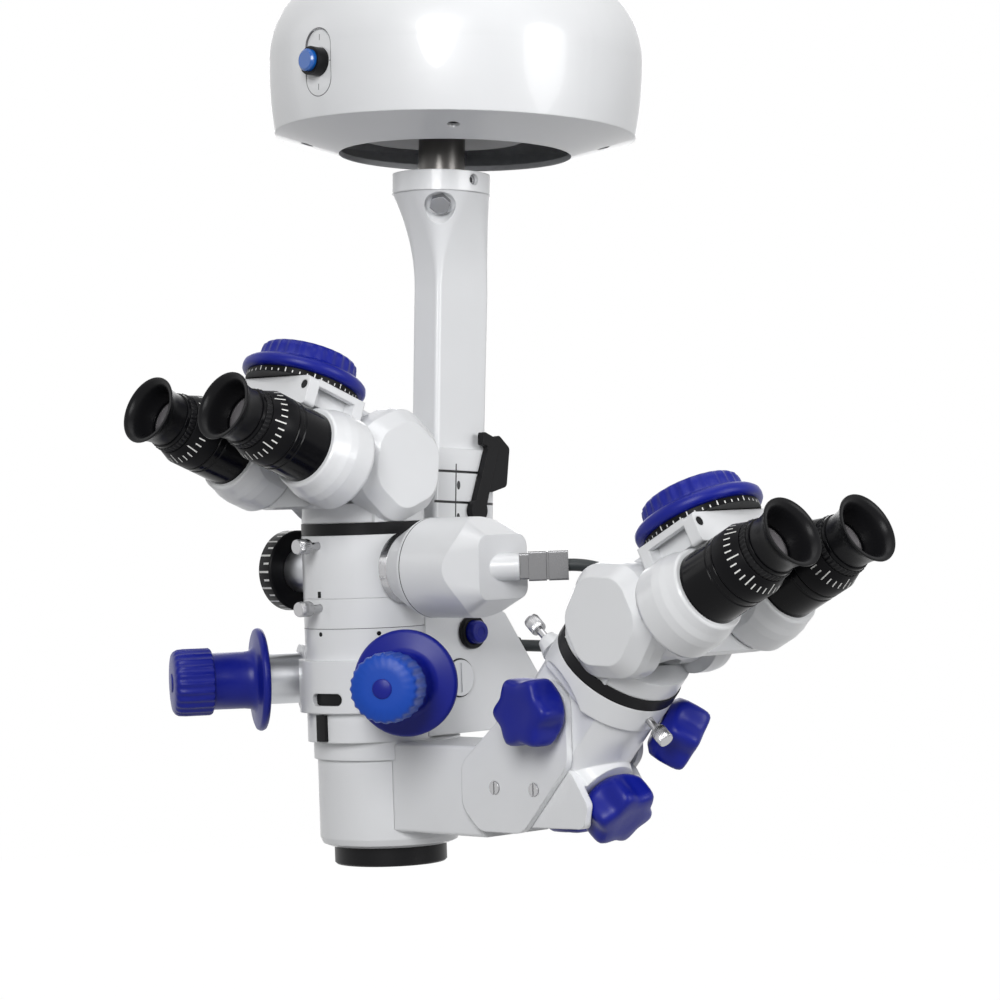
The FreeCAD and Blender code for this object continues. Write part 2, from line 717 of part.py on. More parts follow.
def focus_carriage():
    """Sleeve that slides on the stem, with the tongue and pin that carry the head."""
    z1 = CARRIAGE_TOP
    z0 = z1 - CARRIAGE_H
    wall = CARRIAGE_WALL
    half = STEM_W / 2 + wall
    rear_inner = STEM_REAR + STEM_TAPER
    sleeve = rounded_box(-half, half, STEM_FRONT - wall, rear_inner + wall, z0, z1, STEM_ROUND)
    gap = SLIDE
    channel = rounded_box(-STEM_W / 2 - gap, STEM_W / 2 + gap, STEM_FRONT - gap,
                          rear_inner + gap, z0 - 1, z1 + 1, STEM_ROUND)
    pivot = ARM_AT.inverse().multVec(HEAD_PIVOT)
    tongue_half = TONGUE_W / 2
    plug_top = z0 + 8
    tongue_box = box(-tongue_half, tongue_half, pivot.y - TONGUE_R, pivot.y + TONGUE_R,
                     pivot.z, z0)
    floor = rounded_box(-half, half, STEM_FRONT - wall, rear_inner + wall, z0, plug_top, STEM_ROUND)
    knuckle = rod(TONGUE_R, V(-tongue_half, pivot.y, pivot.z), AX, TONGUE_W)
    pin = rod(TILT_PIN_R, V(-TILT_PIN_L / 2, pivot.y, pivot.z), AX, TILT_PIN_L)
    body = fuse(cut(sleeve, channel), floor, tongue_box, knuckle, pin)
    seams = []
    for drop in CARRIAGE_SEAMS:
        for side in (-1, 1):
            outer = side * half
            inner = side * (half - CARRIAGE_SEAM)
            low, high = min(outer, inner), max(outer, inner)
            seams.append(box(low, high, STEM_FRONT - wall, rear_inner - 8,
                             z1 - drop - CARRIAGE_SEAM, z1 - drop))
    lever_hole = rod(LEVER_PIVOT_R + RUN, LEVER_PIVOT, AX, 40)
    stem_guard = rod(LEVER_PIVOT_R + RUN, V(half - wall * 0.6, LEVER_PIVOT.y, LEVER_PIVOT.z), AX, wall)
    body = cut(body, *seams)
    return placed(cut(body, stem_guard.common(lever_hole)), ARM_AT)


LEVER_PIVOT = V(0, STEM_REAR - 12, CARRIAGE_TOP - 36)


def release_lever():
    """Hooked flat lever on the right of the carriage, with its finger plate behind."""
    x0 = STEM_W / 2 + CARRIAGE_WALL + AIR
    x1 = x0 + LEVER_T
    y = LEVER_PIVOT.y
    z = LEVER_PIVOT.z
    top = z + LEVER_HEIGHT
    rear = y + LEVER_REACH
    blade = side_plate([(y - 6, z - 4), (y + 4, z - 4), (y + 16, top - 4), (y + 2, top + 1),
                        (y + 2, top - 7), (y + 7, top - 8)], 1.5, x0, x1)
    flag = side_plate([(y + 7, z + 10), (rear - 2, z + 15), (rear, top - 8), (y + 15, top),
                       (y + 10, top - 6)], 3, x0 + 1, x1 - 0.8)
    foot = rod(LEVER_BOSS_R, V(x0, y, z), AX, LEVER_T)
    start = STEM_W / 2 + CARRIAGE_WALL * 0.5
    pin = rod(LEVER_PIVOT_R, V(start, y, z), AX, x0 - start + 1)
    return placed(fuse(blade, flag, foot, pin), ARM_AT)


# Head pieces, in the head frame


def in_head(shape):
    return placed(shape, HEAD)


def objective_mount():
    """Threaded ring that holds the front lens, with its spigot in the lower housing."""
    spigot_top = OBJECTIVE_H + OBJECTIVE_SPIGOT_H
    seat = LENS_RECESS + LENS_EDGE + LENS_BULGE
    ring = lathe([(LENS_R + SEAT, 0), (OBJECTIVE_R - 1, 0), (OBJECTIVE_R, 1),
                  (OBJECTIVE_R, OBJECTIVE_H), (OBJECTIVE_SPIGOT_R, OBJECTIVE_H),
                  (OBJECTIVE_SPIGOT_R, spigot_top), (LIGHT_BORE_R, spigot_top),
                  (LIGHT_BORE_R, seat), (LENS_R + SEAT, seat)])
    return in_head(ring)


def objective_lens():
    """Front lens, convex below and flat above."""
    low = LENS_RECESS
    edge = low + LENS_BULGE
    top = edge + LENS_EDGE - SEAT
    middle_r = LENS_R * 0.6
    sag = LENS_BULGE * 0.36
    arc = Part.Arc(V(0, 0, low), V(middle_r, 0, low + sag), V(LENS_R, 0, edge)).toShape()
    edges = [arc, line(V(LENS_R, 0, edge), V(LENS_R, 0, top)), line(V(LENS_R, 0, top), V(0, 0, top)),
             line(V(0, 0, top), V(0, 0, low))]
    return in_head(Part.Face(Part.Wire(edges)).revolve(V(0, 0, 0), AZ, 360))


def lower_housing():
    base = OBJECTIVE_H
    bore_r = OBJECTIVE_SPIGOT_R + SEAT
    step = base + OBJECTIVE_SPIGOT_H + 1
    corner = LOWER_ROUND * 0.3
    body = lathe([(bore_r, base), (LOWER_R - LOWER_ROUND, base), (LOWER_R - corner, base + corner),
                  (LOWER_R, base + LOWER_ROUND), (LOWER_R, LOWER_TOP), (LIGHT_BORE_R, LOWER_TOP),
                  (LIGHT_BORE_R, step), (bore_r, step)])
    return in_head(body)


def knob_direction(side):
    angle = math.radians(KNOB_ANGLE)
    return V(side * math.sin(angle), -math.cos(angle), 0)


def knob_origin(side):
    """Centre of the knob flange's inner face."""
    return V(side * KNOB_X, KNOB_Y, KNOB_H)


def zoom_body():
    """Round body with the zoom optics, on the stepped ring above the lower housing."""
    ring = rod(RING_R, V(0, 0, LOWER_TOP), AZ, RING_H)
    body = rod(BODY_R, V(0, BODY_Y, BODY_BASE), AZ, BODY_H)
    light = rod(LIGHT_BORE_R, V(0, 0, LOWER_TOP - 1), AZ, RING_H + 2)
    room = rod(BODY_BORE_R, V(0, BODY_Y, BODY_BASE + 6), AZ, BODY_H)
    sockets = []
    for side in (-1, 1):
        start = knob_origin(side) - knob_direction(side) * KNOB_GAP
        sockets.append(rod(KNOB_SHAFT_R + SEAT, start - knob_direction(side) * 16,
                           knob_direction(side), KNOB_GAP))
    gate = rod(SMALL_STEM_R, V(0, BODY_Y - BODY_R - 3, BODY_BASE + 8), AY, 5)
    return in_head(cut(fuse(ring, body), light, room, gate, thumb_hole(THUMB_LOWER_H), *sockets))


def module_outline(z):
    """Front half circle, straight sides and rounded rear corners."""
    r = BODY_R
    rear = MODULE_REAR
    round_r = MODULE_ROUND
    diagonal = round_r * (1 - math.sqrt(0.5))
    edges = [Part.Arc(V(-r, BODY_Y, z), V(0, BODY_Y - r, z), V(r, BODY_Y, z)).toShape(),
             line(V(r, BODY_Y, z), V(r, rear - round_r, z)),
             Part.Arc(V(r, rear - round_r, z), V(r - diagonal, rear - diagonal, z),
                      V(r - round_r, rear, z)).toShape(),
             line(V(r - round_r, rear, z), V(-r + round_r, rear, z)),
             Part.Arc(V(-r + round_r, rear, z), V(-r + diagonal, rear - diagonal, z),
                      V(-r, rear - round_r, z)).toShape(),
             line(V(-r, rear - round_r, z), V(-r, BODY_Y, z))]
    return Part.Wire(edges)


def thumb_hole(height):
    start = V(0, BODY_Y - BODY_R - 1, height)
    return rod(THUMB_NECK_R + SEAT, start, AY, 6)


def upper_body():
    """Beam-splitter module between the zoom body and the binocular tube."""
    body = prism(module_outline(MODULE_BASE), V(0, 0, MODULE_H))
    room = rod(BODY_BORE_R - 4, V(0, BODY_Y, MODULE_BASE - 1), AZ, MODULE_H + 2)
    camera_hole = rod(CAMERA_RING_R * 0.7 + SEAT, V(0, CAMERA_Y, CAMERA_H), AX, BODY_R + 2)
    hub_hole = rod(DIAL_HUB_R * 0.7 + SEAT, V(0, DIAL_Y, DIAL_H), V(-1, 0, 0), BODY_R + 2)
    return in_head(cut(body, room, camera_hole, hub_hole, thumb_hole(THUMB_UPPER_H)))


def housing_outline(inset):
    """Side outline (y, z) of the rear housing, moved inwards by the inset."""
    low = BODY_BASE + 1 + inset
    top = BODY_BASE + HOUSING_H - inset
    rear = HOUSING_REAR - inset
    return [(-6 + inset * 0, low), (rear, low), (rear, low + HOUSING_SLOPE_FOOT),
            (HOUSING_TOP_REAR - inset * 0.6, top), (-6, top)]


def gland_axis():
    """Start and direction of the cable gland on the sloping rear wall."""
    end = CABLE_ROUTE[-1]
    inward = V(CABLE_ROUTE[-1].x - CABLE_ROUTE[-2].x, CABLE_ROUTE[-1].y - CABLE_ROUTE[-2].y,
               CABLE_ROUTE[-1].z - CABLE_ROUTE[-2].z).normalize()
    return end, inward


def rear_housing():
    """Hollow housing behind the body: tilt bearing above, lamp and drives inside."""
    half = HOUSING_W / 2
    outer = side_plate(housing_outline(0), HOUSING_ROUND, -half, half)
    inner = side_plate(housing_outline(HOUSING_WALL), HOUSING_ROUND - HOUSING_WALL,
                       -half + HOUSING_WALL, half - HOUSING_WALL)
    front = rod(BODY_R + SEAT, V(0, BODY_Y, BODY_BASE), AZ, HOUSING_H + 10)
    shell = cut(outer, inner)
    tongue_half = TONGUE_W / 2 + AIR
    cheeks = []
    for side in (-1, 1):
        start = V(side * tongue_half, PIVOT_Y, PIVOT_H)
        cheeks.append(rod(PIVOT_CHEEK_R, start, V(side, 0, 0), half - HOUSING_WALL / 2 - tongue_half))
    joined = fuse(shell, *cheeks)
    slot_reach = TONGUE_R + 14
    slot = box(-tongue_half, tongue_half, PIVOT_Y - slot_reach, PIVOT_Y + slot_reach,
               PIVOT_H - TONGUE_R - 4, BODY_BASE + HOUSING_H + 10)
    pin_hole = rod(TILT_PIN_R + RUN, V(-TILT_PIN_L / 2 - 0.5, PIVOT_Y, PIVOT_H), AX, TILT_PIN_L + 1)
    end, inward = gland_axis()
    gland_hole = rod(GLAND_R + SEAT, end - inward, inward, GLAND_L + 2)
    knob_hole = rod(SMALL_STEM_R + RUN, V(half - 3, DEPTH_KNOB_Y, DEPTH_KNOB_H), AX, 6)
    latch_hole = rod(SMALL_STEM_R + RUN, V(half - 3, LATCH_Y, LATCH_H), AX, 6)
    return in_head(cut(joined, front, slot, pin_hole, gland_hole, knob_hole, latch_hole))


def knob_collar():
    """Clamping collar around the body, with a boss for each control knob's shaft."""
    z0 = BODY_BASE + COLLAR_LIFT
    ring = rod(COLLAR_R, V(0, BODY_Y, z0), AZ, COLLAR_H)
    bosses = []
    bores = []
    for side in (-1, 1):
        out = knob_direction(side)
        face = knob_origin(side) - out * KNOB_GAP
        bosses.append(rod(KNOB_BOSS_R, face - out * 26, out, 26))
        bores.append(rod(KNOB_SHAFT_R + SEAT, face - out * 40, out, 60))
    inner = rod(BODY_R + SEAT, V(0, BODY_Y, z0 - 10), AZ, COLLAR_H + 30)
    behind = box(-90, 90, -1, 60, z0 - 20, z0 + COLLAR_H + 20)
    half_w = SLOT_W / 2
    z_slot = z0 + SLOT_LIFT
    slot = front_plate([(-half_w, z_slot - SLOT_H / 2), (half_w, z_slot - SLOT_H / 2),
                        (half_w, z_slot + SLOT_H / 2), (-half_w, z_slot + SLOT_H / 2)],
                       SLOT_H / 2 - 0.3, BODY_Y - COLLAR_R - 5, BODY_Y)
    slot.rotate(V(0, BODY_Y, 0), AZ, SLOT_TURN)
    return in_head(cut(fuse(ring, *bosses), inner, behind, slot, *bores))


def control_shafts():
    """Bright shafts of the two control knobs and the hub of the scale dial."""
    pieces = []
    for side in (-1, 1):
        out = knob_direction(side)
        face = knob_origin(side)
        thick = rod(KNOB_SHAFT_R, face - out * (KNOB_GAP + 8), out, KNOB_GAP + 8 - AIR)
        stub = rod(KNOB_STUB_R, face - out * 2, out, KNOB_STUB_L)
        pieces.append(fuse(thick, stub))
    seat = V(-BODY_R - SEAT, DIAL_Y, DIAL_H)
    left = V(-1, 0, 0)
    hub = rod(DIAL_HUB_R, seat, left, DIAL_GAP - AIR)
    stub = rod(DIAL_STUB_R, seat + left * (DIAL_GAP - 2), left, DIAL_STUB_L + 2)
    spigot = rod(DIAL_HUB_R * 0.7, seat + AX * 6, left, 8)
    pieces.append(fuse(hub, stub, spigot))
    return in_head(Part.makeCompound(pieces))


def control_knob(side):
    """Wide flange, slim sleeve and fluted cap, on the stub of the shaft."""
    length = KNOB_FLANGE_T + KNOB_SLEEVE_L + KNOB_CAP_L
    cap_z = KNOB_FLANGE_T + KNOB_SLEEVE_L
    edge = KNOB_FLANGE_T / 2
    body = lathe([(0, 0), (KNOB_FLANGE_R - 1, 0), (KNOB_FLANGE_R, edge),
                  (KNOB_FLANGE_R - 1, KNOB_FLANGE_T), (KNOB_SLEEVE_R + 3, KNOB_FLANGE_T),
                  (KNOB_SLEEVE_R, KNOB_FLANGE_T + 2), (KNOB_SLEEVE_R, cap_z),
                  (KNOB_CAP_R, cap_z + 1), (KNOB_CAP_R, length - 2), (KNOB_CAP_R - 2, length),
                  (0, length)])
    flute = rod(KNOB_FLUTE_R, V(KNOB_CAP_R + KNOB_FLUTE_R * 0.55, 0, cap_z - 1), AZ, KNOB_CAP_L + 2)
    bore = rod(KNOB_STUB_R + RUN, V(0, 0, -1), AZ, KNOB_STUB_L)
    knob = cut(body, bore, *around(flute, KNOB_FLUTES))
    return in_head(placed(knob, aim(knob_origin(side), knob_direction(side))))


def scale_dial():
    """Round dial on the left port."""
    body = lathe([(0, 0), (DIAL_R - 1, 0), (DIAL_R, 1), (DIAL_R, DIAL_T - 1.5),
                  (DIAL_R - 1.5, DIAL_T), (0, DIAL_T)])
    bore = rod(DIAL_STUB_R + RUN, V(0, 0, -1), AZ, DIAL_STUB_L + 1.5)
    dial = cut(body, bore)
    start = V(-BODY_R - SEAT - DIAL_GAP, DIAL_Y, DIAL_H)
    return in_head(placed(dial, aim(start, V(-1, 0, 0))))


def depth_knob():
    knob = lathe([(0, 0), (DEPTH_KNOB_R, 0), (DEPTH_KNOB_R, 3), (DEPTH_KNOB_R - 0.8, 4),
                  (DEPTH_KNOB_R - 1.4, DEPTH_KNOB_OUT - 1), (DEPTH_KNOB_R - 2.4, DEPTH_KNOB_OUT),
                  (0, DEPTH_KNOB_OUT)])
    stem = rod(SMALL_STEM_R, V(0, 0, -SMALL_STEM_L), AZ, SMALL_STEM_L + 1)
    start = V(HOUSING_W / 2 + AIR, DEPTH_KNOB_Y, DEPTH_KNOB_H)
    return in_head(placed(fuse(knob, stem), aim(start, AX)))


def latch_disc():
    """Slotted quarter-turn disc on the right side of the rear housing."""
    disc = rod(LATCH_R, V(0, 0, 0), AZ, LATCH_OUT)
    slot = box(-LATCH_R * 0.8, LATCH_R * 0.8, -0.9, 0.9, LATCH_OUT - 0.7, LATCH_OUT + 1)
    stem = rod(SMALL_STEM_R, V(0, 0, -SMALL_STEM_L), AZ, SMALL_STEM_L + 0.5)
    start = V(HOUSING_W / 2 + AIR, LATCH_Y, LATCH_H)
    return in_head(placed(cut(fuse(disc, stem), slot), aim(start, AX)))


def thumb_screw():
    """Thumb screw whose shoulder stands at z 0, head outwards along Z."""
    neck = rod(THUMB_NECK_R, V(0, 0, -3), AZ, THUMB_NECK_L + 3)
    head = rod(THUMB_R, V(0, 0, THUMB_NECK_L), AZ, THUMB_L)
    return fuse(neck, head)


def body_screws():
    """Two thumb screws in front of the body and the slotted screws of the cheeks."""
    pieces = []
    thumb = thumb_screw()
    for height in (THUMB_UPPER_H, THUMB_LOWER_H):
        start = V(0, BODY_Y - BODY_R, height)
        pieces.append(placed(thumb, aim(start, V(0, -1, 0))))
    outer = BOX_W / 2 + SEAT + CHEEK_T
    for x in CHEEK_SCREW_X:
        for side in (-1, 1):
            start = V(x, side * (outer - 2), CHEEK_SCREW_H)
            head = rod(CHEEK_SCREW_R, start, V(0, side, 0), 2.8)
            slot = box(x - 0.5, x + 0.5, -60, 60, CHEEK_SCREW_H - 5, CHEEK_SCREW_H + 5)
            face = outer + 0.1
            groove = slot.common(box(x - 5, x + 5, min(side * face, side * 60),
                                     max(side * face, side * 60), 0, 100))
            pieces.append(cut(head, groove))
    return in_head(Part.makeCompound(pieces))


# Camera


def camera_ring():
    ring = rod(CAMERA_RING_R, V(BODY_R + SEAT, CAMERA_Y, CAMERA_H), AX, CAMERA_RING_L)
    spigot = rod(CAMERA_RING_R * 0.7, V(BODY_R - 8, CAMERA_Y, CAMERA_H), AX, 10)
    bore = rod(CAMERA_RING_R * 0.5, V(BODY_R - 9, CAMERA_Y, CAMERA_H), AX,
               CAMERA_RING_L * 3)
    return in_head(cut(fuse(ring, spigot), bore))


CAMERA_START = BODY_R + SEAT + CAMERA_RING_L + SEAT
PORT_DIRECTION = V(math.cos(math.radians(PORT_ANGLE)), math.sin(math.radians(PORT_ANGLE)), 0)
PORT_AT = V(CAMERA_END, CAMERA_Y, CAMERA_H)


def face_outline(x, width, height, radius):
    corners = [V(x, CAMERA_Y - width / 2, CAMERA_H - height / 2),
               V(x, CAMERA_Y + width / 2, CAMERA_H - height / 2),
               V(x, CAMERA_Y + width / 2, CAMERA_H + height / 2),
               V(x, CAMERA_Y - width / 2, CAMERA_H + height / 2)]
    return rounded_outline(corners, radius)


def camera_housing():
    """Cone and barrel that turn into a rounded square end, with the angled port."""
    length = CAMERA_END - CAMERA_START
    barrel = lathe([(0, 0), (CAMERA_RING_R, 0), (CAMERA_R, CAMERA_CONE_L), (CAMERA_R, length),
                    (0, length)])
    barrel = placed(barrel, aim(V(CAMERA_START, CAMERA_Y, CAMERA_H), AX))
    taper_start = CAMERA_END - CAMERA_TAPER_L
    wide = CAMERA_R * 2 + 2
    near = face_outline(taper_start, wide, wide, CAMERA_R * 0.8)
    end = face_outline(CAMERA_END, CAMERA_FACE_W, CAMERA_FACE_H, CAMERA_FACE_ROUND)
    taper = Part.makeLoft([near, end], True, True)
    front = box(CAMERA_START - 1, taper_start, CAMERA_Y - wide, CAMERA_Y + wide,
                CAMERA_H - wide, CAMERA_H + wide)
    shape = barrel.common(fuse(front, taper))
    port = rod(PORT_R, PORT_AT - PORT_DIRECTION * 14, PORT_DIRECTION, 14 + PORT_L)
    room = rod(CAMERA_RING_R * 0.7, V(CAMERA_START - 1, CAMERA_Y, CAMERA_H), AX,
               CAMERA_CONE_L * 2)
    return in_head(cut(fuse(shape, port), room))


def camera_plug():
    """Metal plug pushed into the port, with a stepped collar, the cable at its end."""
    body = rounded_box(-PLUG_W / 2, PLUG_W / 2, -PLUG_H / 2, PLUG_H / 2, PLUG_COLLAR_L, PLUG_L, 1)
    collar = rounded_box(-PLUG_W / 2 + 1, PLUG_W / 2 - 1, -PLUG_H / 2 + 1, PLUG_H / 2 - 1,
                         SEAT, PLUG_COLLAR_L + 1, 1)
    groove = cut(box(-PLUG_W, PLUG_W, -PLUG_H, PLUG_H, PLUG_L * 0.55, PLUG_L * 0.6),
                 box(-PLUG_W / 2 + 0.6, PLUG_W / 2 - 0.6, -PLUG_H / 2 + 0.6, PLUG_H / 2 - 0.6,
                     0, PLUG_L))
    plug = cut(fuse(body, collar), groove)
    start = PORT_AT + PORT_DIRECTION * PORT_L
    side = V(-PORT_DIRECTION.y, PORT_DIRECTION.x, 0)
    turn = Turn(side, AZ, PORT_DIRECTION, "ZYX")
    return in_head(placed(plug, Place(start, turn)))


# Route of the camera cable in the head frame, from the plug to the gland
CABLE_START = PORT_AT + PORT_DIRECTION * (PORT_L + PLUG_L)
CABLE_ROUTE = [CABLE_START, CABLE_START + PORT_DIRECTION * 12.8, V(163, 36, 160), V(167, 60, 146),
               V(155, 85, 133), V(131, 105, 124), V(103, 117, 119), V(75, 121, 117),
               V(47, 115, 118), V(29, 104, 119), V(20, 92, 120)]


def cord_tube(route, radius):
    """Round tube along straight runs joined by tangent arcs; prints the arc radii."""
    edges = []
    at = route[0]
    length = 0.0
    radii = []
    for i in range(1, len(route) - 1):
        here = route[i]
        back = route[i - 1] - here
        ahead = route[i + 1] - here
        leg = 0.45 * min(back.Length, ahead.Length)
        half_turn = (math.pi - back.getAngle(ahead)) / 2
        bend = leg / math.tan(half_turn)
        back.normalize()
        ahead.normalize()
        start = here + back * leg
        end = here + ahead * leg
        inward = (back + ahead).normalize()
        middle = here + inward * (bend / math.cos(half_turn) - bend)
        edges.append(line(at, start))
        edges.append(Part.Arc(start, middle, end).toShape())
        length += (start - at).Length + bend * half_turn * 2
        radii.append(round(bend, 1))
        at = end
    edges.append(line(at, route[-1]))
    length += (route[-1] - at).Length
    path = Part.Wire(edges)
    section = Part.Wire([Part.Circle(route[0], route[1] - route[0], radius).toShape()])
    tube = path.makePipeShell([section], True, True)
    volume = math.pi * radius * radius * length
    print("cable length", round(length, 1), "radii", radii, "volume ratio",
          round(tube.Volume / volume, 4))
    return tube


def camera_cable():
    return in_head(cord_tube(CABLE_ROUTE, CABLE_R))


def cable_gland():
    """Cable gland through the rear wall, face to face with the cable's end."""
    end, inward = gland_axis()
    nut = rod(GLAND_R, end + inward * 4, inward, GLAND_L - 4)
    nose = cone(CABLE_R + 1, GLAND_R, end, inward, 4)
    return in_head(fuse(nose, nut))


# Co-observation box and arm, in the head frame


def coobserver_box():
    """Beam box that leaves the lower housing to the right."""
    half = BOX_W / 2
    outer = box(10, BOX_END, -half, half, BOX_BOTTOM, BOX_TOP)
    outer = outer.makeFillet(BOX_ROUND, [e for e in outer.Edges if e.BoundBox.XLength > 50])
    inner = box(12, BOX_END + 1, -half + 4, half - 4, BOX_BOTTOM + 4, BOX_TOP - 4)
    seat = rod(LOWER_R + SEAT, V(0, 0, 0), AZ, LOWER_TOP)
    ring_seat = rod(RING_R + SEAT, V(0, 0, LOWER_TOP), AZ, RING_H)
    return in_head(cut(outer, inner, seat, ring_seat))


def cheek_outline(y):
    """Shield shape: wide round foot, sloping flank and a top under the upper knob."""
    left = CHEEK_LEFT
    right = CHEEK_RIGHT
    low = CHEEK_LOW
    corners = [V(left, y, low + 13), V(left + 13, y, low), V(left + 46, y, low),
               V(right, y, low + 39), V(right, y, CHEEK_TOP_H + 8), V(right - 13, y, CHEEK_TOP_H + 18),
               V(CHEEK_TOP_X - 12, y, CHEEK_TOP_H + 14), V(left, y, low + 37)]
    return rounded_outline(corners, CHEEK_ROUND)


STAR_A = (V(CHEEK_TOP_X, -BOX_W / 2 - SEAT - CHEEK_T, CHEEK_TOP_H), V(0, -1, 0), STAR_SHORT_STEM_L)
STAR_B = (V(CO_RING_X, 0, CO_RING_H) - TUBE_AXIS * COLLAR_B_DROP + TUBE_DOWN * COLLAR_B_OUT,
          TUBE_DOWN, STAR_STEM_L)
STAR_C = (V(104, BOX_W / 2 + SEAT + CHEEK_T, 36), V(0, 1, 0), STAR_SHORT_STEM_L)
D_OUT = (TUBE_DOWN * math.cos(math.radians(40)) + AY * math.sin(math.radians(40)))
STAR_D = (V(CO_RING_X, 0, CO_RING_H) - TUBE_AXIS * 22.0 + D_OUT * SLEEVE_R, D_OUT, STAR_STEM_L)


def stem_hole(spot):
    """Hole for the stem of a star knob in the piece that it clamps."""
    at, out, length = spot
    return rod(STAR_STEM_R + RUN, at - out * (length + 0.5), out, length + 2)


def cheek_plates():
    """The two cheeks of the tilt joint, joined by its axle."""
    inner = BOX_W / 2 + SEAT
    front = prism(cheek_outline(-inner), V(0, -CHEEK_T, 0))
    rear = prism(cheek_outline(inner), V(0, CHEEK_T, 0))
    axle = rod(AXLE_R, V(CO_PIVOT_X, -inner - 1, CO_PIVOT_H), AY, inner * 2 + 2)
    screw_seats = [rod(CHEEK_SCREW_R + SEAT, V(x, side * (inner + CHEEK_T - 2 - SEAT), CHEEK_SCREW_H),
                       V(0, side, 0), 4) for x in CHEEK_SCREW_X for side in (-1, 1)]
    plates = cut(fuse(front, rear, axle), stem_hole(STAR_A), stem_hole(STAR_C), *screw_seats)
    return in_head(plates)


def along_tube(distance):
    """Point on the assistant tube's axis, below its seat."""
    return CO_SEAT - TUBE_AXIS * distance


def tilt_arm():
    """Arm on the axle: elbow block, round neck and the sleeve for the assistant tube."""
    half = BOX_W / 2 - AIR
    hub = rod(ARM_HUB_R, V(CO_PIVOT_X, -half, CO_PIVOT_H), AY, half * 2)
    knee = along_tube(SLEEVE_L + NECK_L * 0.75)
    left = knee - TUBE_DOWN * (NECK_R - 4)
    right = knee + TUBE_DOWN * (NECK_R - 4)
    toe = V(ARM_TOE_X, 0, ARM_TOE_H)
    low = CO_PIVOT_H - ARM_HUB_R
    web = front_plate([(CO_PIVOT_X, low), (toe.x, toe.z - 1), (toe.x + 3, toe.z + 12),
                       (right.x, right.z), (left.x, left.z),
                       (CO_PIVOT_X - ARM_HUB_R * 0.9, CO_PIVOT_H + 12)], 5, -half, half)
    neck = rod(NECK_R, along_tube(SLEEVE_L + NECK_L), TUBE_AXIS, NECK_L + 1)
    sleeve = rod(SLEEVE_R, along_tube(SLEEVE_L), TUBE_AXIS, SLEEVE_L - SEAT)
    at, out, _ = STAR_B
    collar = cone(COLLAR_B_R, STAR_BASE_R + 5, at - out * 16, out, 16)
    thumb_at, thumb_out = THUMB_SPOTS[0]
    boss = cone(8, 5.5, thumb_at - thumb_out * 8, thumb_out, 8)
    cheek_room = [box(60, 260, side * (half + 5) - 5, side * (half + 5) + 5, 0,
                      CHEEK_TOP_H + 26)
                  for side in (-1, 1)]
    light = rod(MOUNT_RING_BORE_R, along_tube(SLEEVE_L + NECK_L * 0.5), TUBE_AXIS, 200)
    body = cut(fuse(web, hub, neck.cut(cheek_room)), light)
    bore = rod(AXLE_R + RUN, V(CO_PIVOT_X, -half - 1, CO_PIVOT_H), AY, half * 2 + 2)
    thumbs = [rod(THUMB_NECK_R + SEAT, a - o * 4, o, 5) for a, o in THUMB_SPOTS]
    body = fuse(body, cut(sleeve, light), collar, boss)
    knob_room = rod(STAR_R + 1, at, out, 60)
    upper_room = rod(STAR_R + STAR_SWEEP, STAR_A[0], STAR_A[1], 60)
    return in_head(cut(body, bore, knob_room, upper_room, stem_hole(STAR_B), stem_hole(STAR_D),
                       *thumbs))


THUMB_SPOTS = [(V(CO_RING_X, -10, CO_RING_H) - TUBE_AXIS * 21 - TUBE_DOWN * (SLEEVE_R + 5), -TUBE_DOWN),
               (V(CO_RING_X, 0, CO_RING_H) - TUBE_AXIS * 10 + TUBE_DOWN * SLEEVE_R, TUBE_DOWN)]


def sleeve_screws():
    """The two thumb screws that clamp the assistant tube in its sleeve."""
    thumb = thumb_screw()
    return in_head(Part.makeCompound([placed(thumb, aim(at, out)) for at, out in THUMB_SPOTS]))


def star_knob(spot):
    """Lobed clamping knob: round base, lobed head and a stem into its parent."""
    at, out, length = spot
    base = cone(STAR_BASE_R, STAR_R - 1, V(0, 0, AIR), AZ, STAR_BASE_L)
    skirt_z = AIR + STAR_BASE_L
    skirt = rod(STAR_R, V(0, 0, skirt_z), AZ, STAR_SKIRT_L)
    head_z = skirt_z + STAR_SKIRT_L
    head = cut(fuse(rod(STAR_R, V(0, 0, head_z), AZ, STAR_L - 2),
                    cone(STAR_R, STAR_R - 2.5, V(0, 0, head_z + STAR_L - 2), AZ, 2)),
               *around(rod(STAR_SCALLOP_R, V(STAR_SCALLOP_OUT, 0, head_z - 3), AZ, STAR_L + 6),
                       STAR_LOBES))
    scallop = cone(STAR_SCALLOP_R * 0.2, STAR_SCALLOP_R, V(STAR_SCALLOP_OUT, 0, skirt_z - 2), AZ,
                   STAR_SKIRT_L + 2.2)
    stem = rod(STAR_STEM_R, V(0, 0, -length), AZ, length + AIR + 1)
    knob = fuse(base, cut(skirt, *around(scallop, STAR_LOBES)), head, stem)
    return in_head(placed(knob, aim(at, out)))


# Binocular tube, in the tube frame: seat at the origin, minus Y towards the observer


def mount_ring():
    ring = rod(BODY_R, V(0, 0, SEAT), AZ, MOUNT_RING_H - SEAT * 2)
    return cut(ring, rod(MOUNT_RING_BORE_R, V(0, 0, -1), AZ, MOUNT_RING_H + 2))


def cap_outline(x, radius):
    """Rounded hexagon about the tilt axis, one flat facing the observer's side up."""
    corners = []
    for i in range(6):
        angle = math.radians(60 * i + 20)
        reach = radius * 1.12
        corners.append(V(x, TUBE_PIVOT_Y + reach * math.cos(angle),
                         TUBE_PIVOT_Z + reach * math.sin(angle)))
    return rounded_outline(corners, radius * 0.6)


